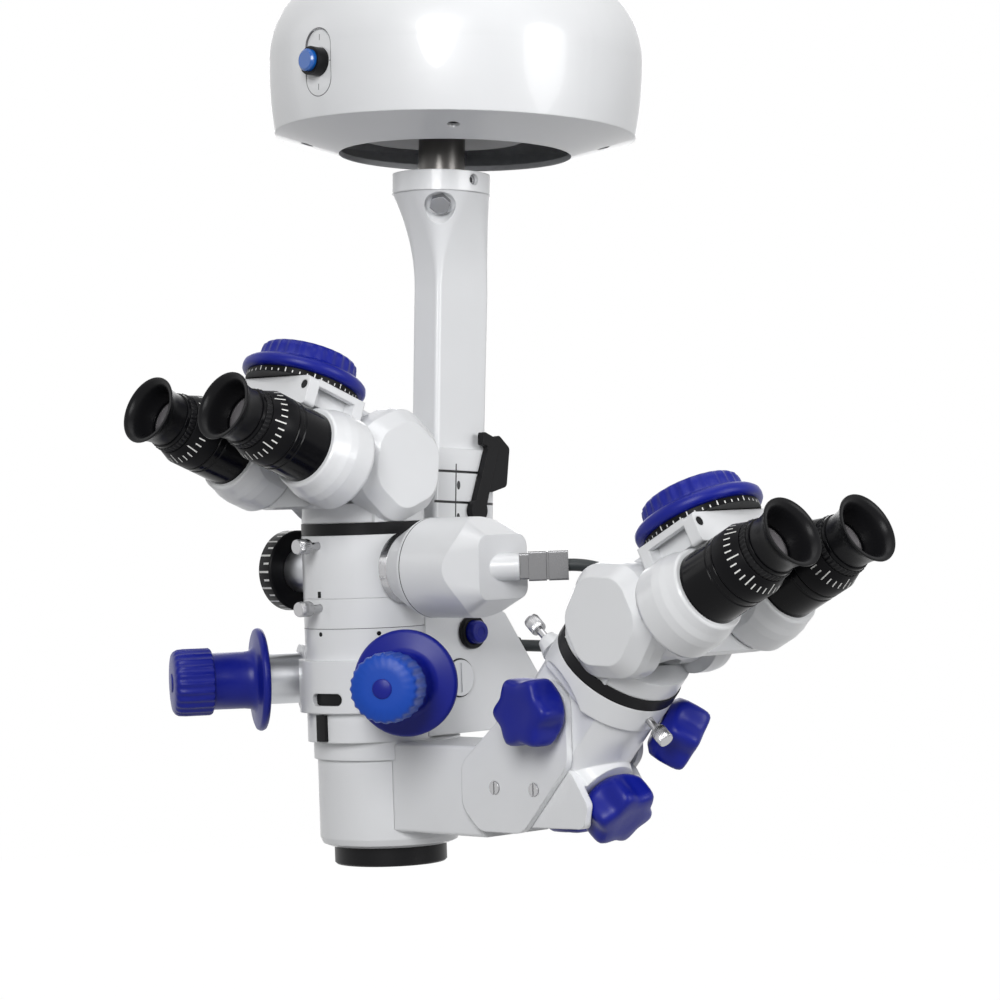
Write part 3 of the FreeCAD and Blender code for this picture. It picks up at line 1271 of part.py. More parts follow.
def fork_base():
    """Base of the tube: round foot, two fork cheeks with big side caps, tilt pin."""
    foot_top = MOUNT_RING_H + FORK_BASE_H
    foot = rod(BODY_R - 0.8, V(0, 0, MOUNT_RING_H), AZ, FORK_BASE_H)
    pieces = [foot]
    for side in (-1, 1):
        cap_in = min(side * FORK_INNER, side * FORK_OUTER)
        cap_x = cap_in
        plate = prism(cap_outline(cap_x, CAP_R), V(FORK_OUTER - FORK_INNER, 0, 0))
        dome = Part.makeLoft([cap_outline(side * FORK_OUTER, CAP_R),
                              cap_outline(side * (FORK_OUTER + 5), CAP_R - 0.8),
                              cap_outline(side * CAP_OUTER, CAP_FACE_R)], True, True)
        web = box(min(side * FORK_INNER, side * FORK_OUTER), max(side * FORK_INNER, side * FORK_OUTER),
                  -20, 18, MOUNT_RING_H, TUBE_PIVOT_Z - 8)
        pieces += [plate, dome, web]
    pin = rod(TUBE_PIN_R, V(-FORK_INNER - 1, TUBE_PIVOT_Y, TUBE_PIVOT_Z), AX, FORK_INNER * 2 + 2)
    pieces.append(pin)
    base = fuse(*pieces)
    below = rod(CAP_R * 2, V(0, 0, MOUNT_RING_H - 40), AZ, 40)
    swing = rod(BARREL_HEAD_R + AIR, V(-FORK_INNER, TUBE_PIVOT_Y, TUBE_PIVOT_Z), AX, FORK_INNER * 2)
    swing = cut(swing, pin)
    light = rod(MOUNT_RING_BORE_R - 4, V(0, 0, 0), AZ, foot_top + 1)
    return cut(base, below, swing, light)


def head_frame():
    """Tilting frame, in the eye frame: barrel on the pin, slab, deck and front bracket."""
    inner = FORK_INNER - AIR
    barrel = rod(BARREL_HEAD_R, V(-inner, 0, 0), AX, inner * 2)
    back = -(CAP_REACH + AIR * 2)
    front = back - SLAB_T
    low = -EYE_DROP - OCULAR_R + 3
    deck_low = -EYE_DROP + OCULAR_TOP_CUT + AIR
    deck_top = deck_low + DECK_H
    half = SLAB_W / 2
    slab = front_plate([(-half, low), (half, low), (half, deck_low), (-half, deck_low)],
                       SLAB_ROUND, front, back)
    throat = box(-inner, inner, back - 1, -8, -THROAT_DROP, deck_top)
    bracket_back = -(BRACKET_FRONT - BRACKET_T)
    deck = box(-DECK_W / 2, DECK_W / 2, bracket_back - 1, back + 0.1, deck_low, deck_top)
    deck_tail = box(-inner, inner, back - 1, 2, deck_low - 2, deck_top)
    half_b = BRACKET_W / 2
    bracket = front_plate([(-half_b, BRACKET_BOTTOM), (half_b, BRACKET_BOTTOM),
                           (half_b, deck_top), (-half_b, deck_top)], 2.5,
                          -BRACKET_FRONT, bracket_back)
    pieces = [barrel, slab, throat, deck, deck_tail, bracket]
    for side in (-1, 1):
        x = side * (half_b - GUIDE_BAR_T / 2)
        pieces.append(box(x - GUIDE_BAR_T / 2, x + GUIDE_BAR_T / 2, bracket_back - 1, front + 1,
                          deck_top - GUIDE_BAR_T, deck_top))
        pieces.append(box(min(side * 10, side * half_b), max(side * 10, side * half_b),
                          front - 3, front + SLAB_T, deck_low - 0, deck_top))
    axle = rod(WHEEL_AXLE_R, V(0, -WHEEL_F, deck_top - 1), AZ, WHEEL_AXLE_H + 1)
    pieces.append(axle)
    holes = [rod(BRACKET_HOLE_R, V(side * BRACKET_HOLE_X, -BRACKET_FRONT - 1, BRACKET_HOLE_N), AY, 5)
             for side in (-1, 1)]
    bore = rod(TUBE_PIN_R + RUN, V(-inner - 1, 0, 0), AX, inner * 2 + 2)
    frame = fuse(*pieces)
    light = rod(MOUNT_RING_BORE_R - 10, V(0, 10, -30), AZ, 22)
    return cut(frame, bore, light, *holes)


DECK_TOP = -EYE_DROP + OCULAR_TOP_CUT + AIR + DECK_H


def pd_wheel():
    """Pupil-distance wheel: scale ring, wide flange and fluted top, on its axle."""
    z0 = DECK_TOP + AIR
    z1 = z0 + WHEEL_BASE_H
    z2 = z1 + WHEEL_FLANGE_T
    z3 = z2 + WHEEL_TOP_H
    edge = (z1 + z2) / 2
    body = lathe([(0, z0), (WHEEL_SCALE_R, z0), (WHEEL_SCALE_R, z1), (WHEEL_FLANGE_R - 1, z1),
                  (WHEEL_FLANGE_R, edge), (WHEEL_FLANGE_R - 1, z2), (WHEEL_R + 2, z2),
                  (WHEEL_R, z2 + 1.5), (WHEEL_R, z3 - 2), (WHEEL_R - 2, z3), (0, z3)])
    flute = rod(WHEEL_FLUTE_R, V(WHEEL_R + WHEEL_FLUTE_R * 0.6, 0, z2 + 1), AZ, WHEEL_TOP_H + 1)
    bore = rod(WHEEL_AXLE_R + RUN, V(0, 0, z0 - 1), AZ, WHEEL_AXLE_H + 1.5)
    return moved(cut(body, bore, *around(flute, WHEEL_FLUTES)), y=-WHEEL_F)


def ocular_housing(side, pupil_distance):
    """Bulbous housing of one eyepiece, flattened inside and under the deck."""
    rear = CAP_REACH + AIR * 2 + SLAB_T + AIR
    length = HOUSING_FRONT - rear
    collar = length - OCULAR_NOSE_L
    body = lathe([(0, 0), (OCULAR_R - 1, 0), (OCULAR_R, 2), (OCULAR_R, collar - 9),
                  (OCULAR_R - 0.8, collar - 4), (OCULAR_R - 2.2, collar),
                  (OCULAR_NOSE_R, length - 1), (OCULAR_NOSE_R - 1, length), (0, length)])
    inner_x = -side * OCULAR_INNER
    keep = box(min(inner_x, side * 60), max(inner_x, side * 60), -60, OCULAR_TOP_CUT, -1, length + 1)
    bore = rod(BARREL_SPIGOT_R + SEAT, V(0, 0, length - BARREL_SPIGOT_L - 0.5), AZ, BARREL_SPIGOT_L + 2)
    light = rod(BARREL_GUIDE_R - 3, V(0, 0, -1), AZ, length)
    ocular = cut(body.common(keep), bore, light)
    place = Place(V(side * pupil_distance / 2, -rear, -EYE_DROP), Turn(AX, 90))
    return placed(ocular, place)


def on_eye_axis(shape, side, pupil_distance):
    """Put a lathe piece on the eyepiece axis, its base on the ocular housing's front."""
    return placed(shape, Place(V(side * pupil_distance / 2, -HOUSING_FRONT, -EYE_DROP), Turn(AX, 90)))


def eyepiece_barrel(side, pupil_distance):
    """Black barrel with the spigot in the housing and the guide of the eyecup ring."""
    z1 = BARREL_L
    z2 = BARREL_L + BARREL_GUIDE_L
    body = lathe([(EYE_BORE_R, -BARREL_SPIGOT_L), (BARREL_SPIGOT_R, -BARREL_SPIGOT_L),
                  (BARREL_SPIGOT_R, SEAT), (BARREL_R, SEAT), (BARREL_R, z1 - 3),
                  (BARREL_R - 0.5, z1 - 3), (BARREL_R - 0.5, z1 - 2), (BARREL_R, z1 - 2),
                  (BARREL_R, z1), (BARREL_GUIDE_R, z1), (BARREL_GUIDE_R, z2), (0, z2),
                  (0, z2 - 4), (EYE_BORE_R, z2 - 4)])
    return on_eye_axis(body, side, pupil_distance)


def eyecup(side, pupil_distance):
    """Turning scale ring, grip ring and flared rubber cup."""
    z0 = BARREL_L + AIR
    z1 = z0 + SCALE_RING_L
    z2 = z1 + RIB_RING_L
    z3 = z2 + EYECUP_L
    guide = BARREL_L + BARREL_GUIDE_L + AIR
    inner = BARREL_GUIDE_R + RUN
    body = lathe([(inner, z0), (BARREL_R, z0), (BARREL_R, z0 + 8), (SCALE_RING_SMALL_R + 1, z1 - 1),
                  (SCALE_RING_SMALL_R, z1), (SCALE_RING_SMALL_R, z2), (EYECUP_WAIST_R, z2 + 1.5),
                  (EYECUP_WAIST_R, z2 + 5), (EYECUP_R, z3), (EYECUP_R - EYECUP_WALL, z3),
                  (EYECUP_WAIST_R - EYECUP_WALL, z2 + 5), (EYE_BORE_R, z2 + 1), (EYE_BORE_R, guide),
                  (inner, guide)])
    return on_eye_axis(body, side, pupil_distance)


def tube_nodes(name, frame, elevation, pupil_distance):
    """All nodes of one binocular tube: name, shape."""
    tube = HEAD.multiply(frame)
    eyes = tube.multiply(eye_frame(elevation))
    nodes = [(name + "_mount_ring", placed(mount_ring(), tube)),
             (name + "_tube_base", placed(fork_base(), tube)),
             (name + "_eye_frame", placed(head_frame(), eyes)),
             (name + "_pd_wheel", placed(pd_wheel(), eyes))]
    for side, hand in ((-1, "left"), (1, "right")):
        nodes.append((name + "_ocular_" + hand, placed(ocular_housing(side, pupil_distance), eyes)))
        nodes.append((name + "_barrel_" + hand, placed(eyepiece_barrel(side, pupil_distance), eyes)))
        nodes.append((name + "_eyecup_" + hand, placed(eyecup(side, pupil_distance), eyes)))
    return nodes


def all_nodes():
    nodes = [("coupling_cover", coupling_cover()), ("coupling_top_plate", coupling_top_plate()),
             ("rails_and_posts", rails_and_posts()), ("cross_stage", cross_stage()),
             ("bearing_stage", bearing_stage()), ("button_bezel", button_bezel()),
             ("coupling_button", coupling_button()), ("cover_screws", cover_screws()),
             ("swivel_shaft", swivel_shaft()), ("carrier_arm", carrier_arm()),
             ("clamp_bolts", clamp_bolts()), ("focus_carriage", focus_carriage()),
             ("release_lever", release_lever()), ("objective_mount", objective_mount()),
             ("objective_lens", objective_lens()), ("lower_housing", lower_housing()),
             ("zoom_body", zoom_body()), ("upper_body", upper_body()),
             ("rear_housing", rear_housing()), ("knob_collar", knob_collar()),
             ("control_shafts", control_shafts()), ("left_knob", control_knob(-1)),
             ("right_knob", control_knob(1)), ("scale_dial", scale_dial()),
             ("depth_knob", depth_knob()), ("latch_disc", latch_disc()),
             ("body_screws", body_screws()), ("camera_ring", camera_ring()),
             ("camera_housing", camera_housing()), ("camera_plug", camera_plug()),
             ("camera_cable", camera_cable()), ("cable_gland", cable_gland()),
             ("coobserver_box", coobserver_box()), ("cheek_plates", cheek_plates()),
             ("tilt_arm", tilt_arm()), ("sleeve_screws", sleeve_screws()),
             ("star_knob_upper", star_knob(STAR_A)), ("star_knob_lower", star_knob(STAR_B)),
             ("star_knob_rear", star_knob(STAR_C)), ("star_knob_sleeve", star_knob(STAR_D))]
    nodes += tube_nodes("main", MAIN_TUBE, MAIN_ELEVATION, MAIN_PD)
    nodes += tube_nodes("assistant", ASSISTANT_TUBE, ASSISTANT_ELEVATION, ASSISTANT_PD)
    return nodes


os.makedirs("parts", exist_ok=True)
for node, shape in all_nodes():
    shape.exportStep("parts/" + node + ".step")
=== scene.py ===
from math import cos, pi, radians, sin

import bmesh
import bpy
from mathutils import Matrix, Vector


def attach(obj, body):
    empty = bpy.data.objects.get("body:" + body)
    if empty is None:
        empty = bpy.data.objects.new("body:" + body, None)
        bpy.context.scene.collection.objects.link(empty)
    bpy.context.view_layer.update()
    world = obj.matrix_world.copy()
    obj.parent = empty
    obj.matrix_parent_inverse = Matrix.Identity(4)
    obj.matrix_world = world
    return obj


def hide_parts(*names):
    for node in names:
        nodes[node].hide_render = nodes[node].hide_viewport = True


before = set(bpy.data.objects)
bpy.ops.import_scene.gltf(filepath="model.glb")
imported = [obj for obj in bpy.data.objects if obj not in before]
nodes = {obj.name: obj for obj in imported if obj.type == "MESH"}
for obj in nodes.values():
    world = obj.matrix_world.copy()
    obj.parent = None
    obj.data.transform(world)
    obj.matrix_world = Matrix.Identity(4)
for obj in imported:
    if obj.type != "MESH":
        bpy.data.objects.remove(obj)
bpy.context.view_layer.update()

# The room: a pale floor well below the hanging microscope, a white surround that
# only the camera and the reflections see, and large soft lamps round the object.


class Socket:
    """A value in a node tree: + - * / and abs() on it add Math nodes, node() adds any other."""

    def __init__(self, tree, outlet=None):
        self.tree = tree
        self.outlet = outlet

    def node(self, kind, settings=(), pick=0, **values):
        """One node: its settings first, then values or links. i0, i1 name a socket by number."""
        made = self.tree.nodes.new("ShaderNode" + kind)
        for name, value in dict(settings).items():
            setattr(made, name, value)
        for name, value in values.items():
            key = int(name[1:]) if name[1:].isdigit() else name.replace("_", " ")
            if isinstance(value, Socket):
                self.tree.links.new(value.outlet, made.inputs[key])
            else:
                made.inputs[key].default_value = value
        return Socket(self.tree, made.outputs[pick])

    def maths(self, operation, first, second=0.0):
        return self.node("Math", {"operation": operation}, i0=first, i1=second)

    def __add__(self, other):
        return self.maths("ADD", self, other)

    def __sub__(self, other):
        return self.maths("SUBTRACT", self, other)

    def __mul__(self, other):
        return self.maths("MULTIPLY", self, other)

    def __truediv__(self, other):
        return self.maths("DIVIDE", self, other)

    def __abs__(self):
        return self.maths("ABSOLUTE", self)

    def most(self, other):
        return self.maths("MAXIMUM", self, other)

    def under(self, limit):
        return self.maths("LESS_THAN", self, limit)

    def over(self, limit):
        return self.maths("GREATER_THAN", self, limit)


def seen_rays(tree):
    """1 on rays from the camera, a mirror or glass, else 0."""
    path = tree.nodes.new("ShaderNodeLightPath")
    viewed, mirrored, through = (Socket(tree, path.outputs[f"Is {kind} Ray"])
                                 for kind in ("Camera", "Glossy", "Transmission"))
    return viewed.most(mirrored).most(through)


world = bpy.data.worlds.new("studio")
bpy.context.scene.world = world
world.use_nodes = True
tree = world.node_tree
seen = seen_rays(tree)
AMBIENT = 0.08
tree.nodes["Background"].inputs["Color"].default_value = (1, 1, 1, 1)
level = seen * (1 - AMBIENT) + AMBIENT
tree.links.new(level.outlet, tree.nodes["Background"].inputs["Strength"])

FLOOR_Z = -1.25
FLOOR_HALF = 9
FLOOR_GLOW = 1.08
FLOOR_GLOW_SHARE = 0.92
floor_mesh = bmesh.new()
bmesh.ops.create_grid(floor_mesh, x_segments=1, y_segments=1, size=FLOOR_HALF,
                      matrix=Matrix.Translation((0, 0, FLOOR_Z)))
floor_data = bpy.data.meshes.new("floor")
floor_mesh.to_mesh(floor_data)
floor_mesh.free()
floor = bpy.data.objects.new("floor", floor_data)
bpy.context.collection.objects.link(floor)
floor_paint = bpy.data.materials.new("floor_white")
floor_paint.use_nodes = True
tree = floor_paint.node_tree
shader = tree.nodes["Principled BSDF"]
shader.inputs["Base Color"].default_value = (0.32, 0.32, 0.32, 1)
shader.inputs["Roughness"].default_value = 0.8
seen = seen_rays(tree)
glow = seen.node("Emission", Color=(1, 1, 1, 1), Strength=FLOOR_GLOW)
mixed = seen.node("MixShader", i0=seen * FLOOR_GLOW_SHARE, i1=Socket(tree, shader.outputs[0]), i2=glow)
tree.links.new(mixed.outlet, tree.nodes["Material Output"].inputs["Surface"])
floor_data.materials.append(floor_paint)


def soft_lamp(name, place, target, size, power):
    data = bpy.data.lights.new(name, "AREA")
    data.shape = "ELLIPSE"
    data.size, data.size_y = size
    data.energy = power
    lamp = bpy.data.objects.new(name, data)
    bpy.context.collection.objects.link(lamp)
    aim = Vector(target) - Vector(place)
    lamp.matrix_world = Matrix.Translation(place) @ aim.to_track_quat("-Z", "Y").to_matrix().to_4x4()


MIDDLE = (0.08, -0.06, -0.33)
soft_lamp("window_front", (1.5, -2.2, 0.6), MIDDLE, (1.2, 1.4), 52)
soft_lamp("window_right", (2.3, 0.4, 0.2), MIDDLE, (1.2, 1.4), 24)
soft_lamp("window_left", (-1.8, -1.2, 0.4), MIDDLE, (1.2, 1.4), 3)
soft_lamp("sky", (0.2, -0.2, 1.6), MIDDLE, (1.8, 1.8), 12)
soft_lamp("rear", (-1.6, 1.6, 0.2), MIDDLE, (1.4, 1.4), 8)

# The camera stands level with the body, at the surgeon's front right, as in the photo.
# It looks a little upwards, and the picture is turned by less than a degree.
camera_data = bpy.data.cameras.new("camera")
camera_data.sensor_width = 36
camera_data.lens = 124.1
camera_data.clip_end = 60
camera = bpy.data.objects.new("camera", camera_data)
bpy.context.collection.objects.link(camera)
EYE = Vector((1.461, -1.4197, -0.403))
LOOK_UP = radians(2.325)
ROLL = radians(0.7)
level_look = Vector((-1, 1, 0)).normalized() * cos(LOOK_UP) + Vector((0, 0, sin(LOOK_UP)))
camera.matrix_world = (Matrix.Translation(EYE)
                       @ level_look.to_track_quat("-Z", "Y").to_matrix().to_4x4()
                       @ Matrix.Rotation(ROLL, 4, "Z"))
bpy.context.scene.camera = camera
bpy.context.scene.view_settings.view_transform = "Standard"

# The camera cable: dark flexible jacket, 7 mm, from the plug on the video camera in a
# loose arc round the assistant tube and back into the gland in the rear housing.
MM = 0.001
HEAD = Matrix.Translation((0, -0.0442, -0.5317)) @ Matrix.Rotation(radians(3.7), 4, "X")
CABLE_ROUTE = [(140.456, 10.056, 170.4), (149.507, 19.107, 170.4), (163, 36, 160), (167, 60, 146),
               (155, 85, 133), (131, 105, 124), (103, 117, 119), (75, 121, 117),
               (47, 115, 118), (29, 104, 119), (20, 92, 120)]
CABLE_RADIUS = 0.0035


def collection_object(name, data):
    made = bpy.data.objects.new(name, data)
    bpy.context.collection.objects.link(made)
    return made


cable_data = bpy.data.curves.new("video_cable", "CURVE")
cable_data.dimensions = "3D"
cable_data.bevel_depth = 1
cable_data.bevel_resolution = 6
cable_data.resolution_u = 16
cable_data.use_fill_caps = True
spline = cable_data.splines.new("NURBS")
spline.points.add(len(CABLE_ROUTE) - 1)
for point, place in zip(spline.points, CABLE_ROUTE):
    point.co = (*(HEAD @ (Vector(place) * MM)), 1)
    point.radius = CABLE_RADIUS
spline.order_u = 3
spline.use_endpoint_u = True
cable = collection_object("video_cable", cable_data)
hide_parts("camera_cable")
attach(cable, "head")


def blend(mask, under, over):
    """The under colour where the mask is 0, the over colour where it is 1."""
    return mask.node("Mix", {"data_type": "RGBA"}, pick=2, Factor=mask, i6=under, i7=over)


def finish(name, colour, roughness, metallic=0.0, coat=0.0, uneven=0.03, grain=1.2, depth=0.02,
           edge=0.5, tint=None, gleam=0.5):
    """A finish: grain, depth (the bump's height) and edge (its rounding) are in millimetres,
    tint draws lines over the colour, gleam is the strength of the plain reflection."""
    made = bpy.data.materials.new(name)
    made.use_nodes = True
    tree = made.node_tree
    shader = tree.nodes["Principled BSDF"]
    start = Socket(tree)
    place = start.node("TexCoord", pick="Object")
    cloud = start.node("TexNoise", Vector=place, Scale=18.0, Detail=3.0)
    fine = start.node("TexNoise", Vector=place, Scale=1000.0 / grain, Detail=2.0)
    darker = tuple(c * (1 - uneven * 2) for c in colour)
    lighter = tuple(min(1.0, c * (1 + uneven)) for c in colour)
    body = blend(cloud, (*darker, 1), (*lighter, 1))
    if tint:
        body = tint(place, body)
    tree.links.new(body.outlet, shader.inputs["Base Color"])
    rough = fine * 0.08 + cloud * 0.08 + (roughness - 0.08)
    tree.links.new(rough.outlet, shader.inputs["Roughness"])
    shader.inputs["Metallic"].default_value = metallic
    shader.inputs["Coat Weight"].default_value = coat
    shader.inputs["Specular IOR Level"].default_value = gleam
    soft_edge = start.node("Bevel", {"samples": 4}, Radius=edge * MM)
    bump = start.node("Bump", Height=fine, Strength=1.0, Distance=depth * MM, Normal=soft_edge)
    tree.links.new(bump.outlet, shader.inputs["Normal"])
    return made


CABLE_GREY = finish("cable_jacket", (0.035, 0.04, 0.042), 0.45, uneven=0.1, grain=0.6, depth=0.015,
                    edge=0.1, gleam=0.3)
cable_data.materials.append(CABLE_GREY)

# Displacement coupling: a white lacquered cover round two crossed slides, a white shield
# disc in its opening, and a blue push button in a black bezel that frees the slides.


def dress(surface, *names):
    """Give the solids of these nodes one finish."""
    for name in names:
        nodes[name].data.materials.clear()
        nodes[name].data.materials.append(surface)


WHITE_LOOK = {"colour": (0.78, 0.79, 0.805), "roughness": 0.34, "coat": 0.25, "grain": 1.6,
              "depth": 0.012, "edge": 1.2}
WHITE = finish("white_lacquer", **WHITE_LOOK)
BUTTON_Z = -0.074
FINE_LINE = 0.0003


def along_axes(place):
    return (place.node("SeparateXYZ", pick=axis, Vector=place) for axis in "XYZ")


def recess_lines(place, body):
    """A grey outline and four short ticks round the push button, on the front of the cover."""
    x, y, z = along_axes(place)
    wide = abs(x)
    high = abs(z - BUTTON_Z)
    past = (high - 0.009).most(0)
    reach = wide.maths("SQRT", wide * wide + past * past)
    outline = abs(reach - 0.0105).under(FINE_LINE)
    upright = wide.under(FINE_LINE) * high.over(0.0125) * high.under(0.016)
    level_ticks = high.under(FINE_LINE) * wide.over(0.0088) * wide.under(0.0098)
    mask = outline.most(upright.most(level_ticks)) * y.under(-0.1)
    return blend(mask, body, (0.16, 0.16, 0.17, 1))


COVER_WHITE = finish("cover_lacquer", tint=recess_lines, **WHITE_LOOK)
SATIN = finish("satin_aluminium", (0.50, 0.51, 0.53), 0.34, metallic=1.0, grain=0.4, depth=0.006, edge=0.6)
ANODISED_AND_HOLE_SHADE = finish("black_anodised_and_hole_shade", (0.006, 0.006, 0.007), 0.38, uneven=0.1, grain=0.5, edge=0.5,
                  gleam=0.15)
BUTTON_BLUE = finish("button_blue", (0.004, 0.10, 0.42), 0.22, coat=0.4, grain=1.0, depth=0.004, edge=0.4)
dress(COVER_WHITE, "coupling_cover")
# The white shield disc (bearing_stage) is coloured mid-grey: painted shade for its place inside the cover's
# opening.
SHIELD_SHADE_GREY = finish("shield_painted_shade", (0.36, 0.36, 0.37), 0.55, grain=1.6, depth=0.012, edge=0.8,
                     gleam=0.12)
dress(SHIELD_SHADE_GREY, "bearing_stage")
dress(SATIN, "coupling_top_plate", "rails_and_posts", "cross_stage")
dress(ANODISED_AND_HOLE_SHADE, "cover_screws", "button_bezel")
dress(BUTTON_BLUE, "coupling_button")

# Swivel shaft and carrier arm: a bright ground shaft in the clamping hub of a flat white
# casting, held by a hexagon bolt in its pocket and a set screw.
BRIGHT = finish("bright_steel", (0.46, 0.46, 0.47), 0.2, metallic=1.0, grain=0.5, depth=0.004, edge=0.4)
SHAFT_STEEL = finish("ground_steel", (0.13, 0.125, 0.12), 0.3, metallic=1.0, grain=0.4, depth=0.004,
                     edge=0.4)
dress(SHAFT_STEEL, "swivel_shaft")
dress(BRIGHT, "clamp_bolts")
dress(WHITE, "carrier_arm")

# Focus carriage: a white sleeve on the stem, with seams between its blocks, and a black
# hooked lever at its side that releases it.


def carriage_seams(place, body):
    """Dark joints between the blocks of the sleeve, with two screw heads beside the upright one."""
    x, y, z = along_axes(place)
    mask = abs(y + 0.0097).under(0.0005) * z.under(-0.3) * z.over(-0.341)
    for groove in (-0.3046, -0.3226, -0.3406):
        mask = mask.most(abs(z - groove).under(0.0007))
    for screw in (-0.3125, -0.3315):
        across = (y + 0.0075) / 0.0014
        along = (z - screw) / 0.0026
        mask = mask.most((across * across + along * along).under(1))
    return blend(mask * abs(x).over(0.0129), body, (0.02, 0.02, 0.022, 1))


SEAMED_WHITE = finish("carriage_lacquer", tint=carriage_seams, **WHITE_LOOK)
dress(SEAMED_WHITE, "focus_carriage")
dress(ANODISED_AND_HOLE_SHADE, "release_lever")

# Microscope body: white castings stacked over the black objective ring, with the rear
# housing behind, the collar for the control knobs and bright thumb screws in front.
dress(WHITE, "lower_housing", "zoom_body", "upper_body", "rear_housing", "knob_collar")
dress(ANODISED_AND_HOLE_SHADE, "objective_mount")
dress(SATIN, "control_shafts")
dress(BRIGHT, "body_screws")


def glass(name, **values):
    made = bpy.data.materials.new(name)
    made.use_nodes = True
    for key, value in values.items():
        made.node_tree.nodes["Principled BSDF"].inputs[key.replace("_", " ")].default_value = value
    return made


# The front lens: clear glass with a faint blue-green reflex from its coating.
LENS_GLASS = glass("coated_glass", Base_Color=(0.75, 0.88, 0.9, 1), Roughness=0.03,
                   Transmission_Weight=0.9, IOR=1.5)
dress(LENS_GLASS, "objective_lens")

# Control knobs: a wide guard flange, a slim sleeve and a cap with fine ridges, turned to
# adjust focus and zoom. The right one has a brighter cap.


def turned(name, rings, place, coat, segments=96, lobes=0, sharp=38):
    """A closed form spun from rings in millimetres, each (radius, height) or, with flutes or
    lobes pressed in, (radius, height, depth)."""
    shape = bmesh.new()
    loops = [bmesh.ops.create_circle(shape, segments=segments, radius=1.0, cap_ends=False)["verts"]]
    angles = [2 * pi * i / segments for i in range(segments)]
    edges = shape.edges[:]
    for _ in rings[1:]:
        grown = bmesh.ops.extrude_edge_only(shape, edges=edges)["geom"]
        loops.append([g for g in grown if isinstance(g, bmesh.types.BMVert)])
        edges = [g for g in grown if isinstance(g, bmesh.types.BMEdge)]
    for (radius, height, *press), verts in zip(rings, loops):
        depth = press[0] if press else 0.0
        for angle, vert in zip(angles, verts):
            dent = depth * (0.5 - 0.5 * cos(lobes * angle)) ** 0.8 if depth else 0.0
            reach = radius - dent
            vert.co = (reach * cos(angle), reach * sin(angle), height)
    if rings[0] != rings[-1]:
        bmesh.ops.contextual_create(shape, geom=loops[0])
        bmesh.ops.contextual_create(shape, geom=loops[-1])
    bmesh.ops.remove_doubles(shape, verts=shape.verts, dist=1e-4)
    bmesh.ops.recalc_face_normals(shape, faces=shape.faces)
    return set_piece(name, shape, place, coat, sharp)


def set_piece(name, shape, place, coat, sharp=38):
    """Bring a form made in millimetres to its place in the frame, smooth its shading."""
    bmesh.ops.transform(shape, matrix=place @ Matrix.Scale(MM, 4), verts=shape.verts)
    data = bpy.data.meshes.new(name)
    shape.to_mesh(data)
    shape.free()
    for face in data.polygons:
        face.use_smooth = True
    data.set_sharp_from_angle(angle=radians(sharp))
    data.materials.append(coat)
    return collection_object(name, data)


def stand(frame_of, start, out):
    """Matrix that stands a piece's Z axis along out, at start in millimetres."""
    turn = Vector(out).to_track_quat("Z", "Y").to_matrix().to_4x4()
    return frame_of @ Matrix.Translation(Vector(start) * MM) @ turn


def stands_for(piece, node, body):
    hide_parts(node)
    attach(piece, body)


BLUE = finish("blue_moulding", (0.004, 0.010, 0.24), 0.36, uneven=0.06, grain=0.9, depth=0.02, edge=1.2,
              gleam=0.25)
CAP_BLUE = finish("blue_grip", (0.004, 0.06, 0.42), 0.4, uneven=0.08, grain=1.0, depth=0.03, edge=1.0,
                  gleam=0.3)
AT_AXIS = 0.02
KNOB_LEAN = radians(32)
KNOB_RINGS = [(15.2, 0), (28.0, 0), (29.3, 0.6), (30.0, 2.0), (30.0, 3.2), (29.3, 4.5), (28.0, 5.0),
              (20.0, 5.6), (18.2, 6.6), (17.0, 8.6), (16.6, 12.0), (16.5, 30.2), (17.2, 31.0)]
CAP_RINGS = [(16.0, 30.9), (18.8, 31.2), (19.6, 32.2, 0.9), (19.6, 47.0, 0.9), (19.3, 50.5, 0.9),
             (18.4, 52.4, 0.5), (17.0, 53.4), (10.0, 53.9), (AT_AXIS, 54.0)]
CENTRE_RINGS = [(AT_AXIS, 53.8), (5.5, 53.8), (5.5, 54.3), (5.0, 54.6), (AT_AXIS, 54.6)]
for side, name, cap_coat in ((-1, "left_knob", BLUE), (1, "right_knob", CAP_BLUE)):
    out = Vector((side * sin(KNOB_LEAN), -cos(KNOB_LEAN), 0))
    place = stand(HEAD, (side * 60.7, -40.2, 107), out)
    guard = turned("guard_" + name, KNOB_RINGS, place, BLUE, sharp=60)
    stands_for(guard, name, name)
    cap = turned("cap_" + name, CAP_RINGS, place, cap_coat, segments=240, lobes=24, sharp=60)
    stands_for(cap, name, name)
    centre = turned("centre_" + name, CENTRE_RINGS, place, BLUE, segments=64)
    stands_for(centre, name, name)

# Scale dial and small controls: a black knurled dial with white lines on the left port,
# a blue depth knob and a pale slotted disc on the side of the rear housing.


def marked(name, axis_place, count, low, high, long_every, line):
    """A black finish with count white lines round an axis, from low to high in millimetres.
    Every so many is long, and line is half a line's share of its step."""

    def lines(place, body):
        local = place.node("Mapping", {"vector_type": "TEXTURE"}, Vector=place,
                           Location=axis_place.to_translation(), Rotation=axis_place.to_euler())
        x, y, z = along_axes(local)
        step = y.maths("ARCTAN2", y, x) * (count / (2 * pi)) + count
        stroke = abs(step.maths("FRACT", step) - 0.5).over(0.5 - line)
        group = step / long_every
        major = abs(group.maths("FRACT", group) - 0.5).over(0.5 - 0.5 / long_every)
        top = major * ((high - low) * 0.45 * MM) + (low + (high - low) * 0.55) * MM
        return blend(stroke * z.over(low * MM) * z.under(top), body, (0.78, 0.78, 0.76, 1))

    return finish(name, (0.005, 0.005, 0.006), 0.36, uneven=0.1, grain=0.5, edge=0.4, tint=lines, gleam=0.08)


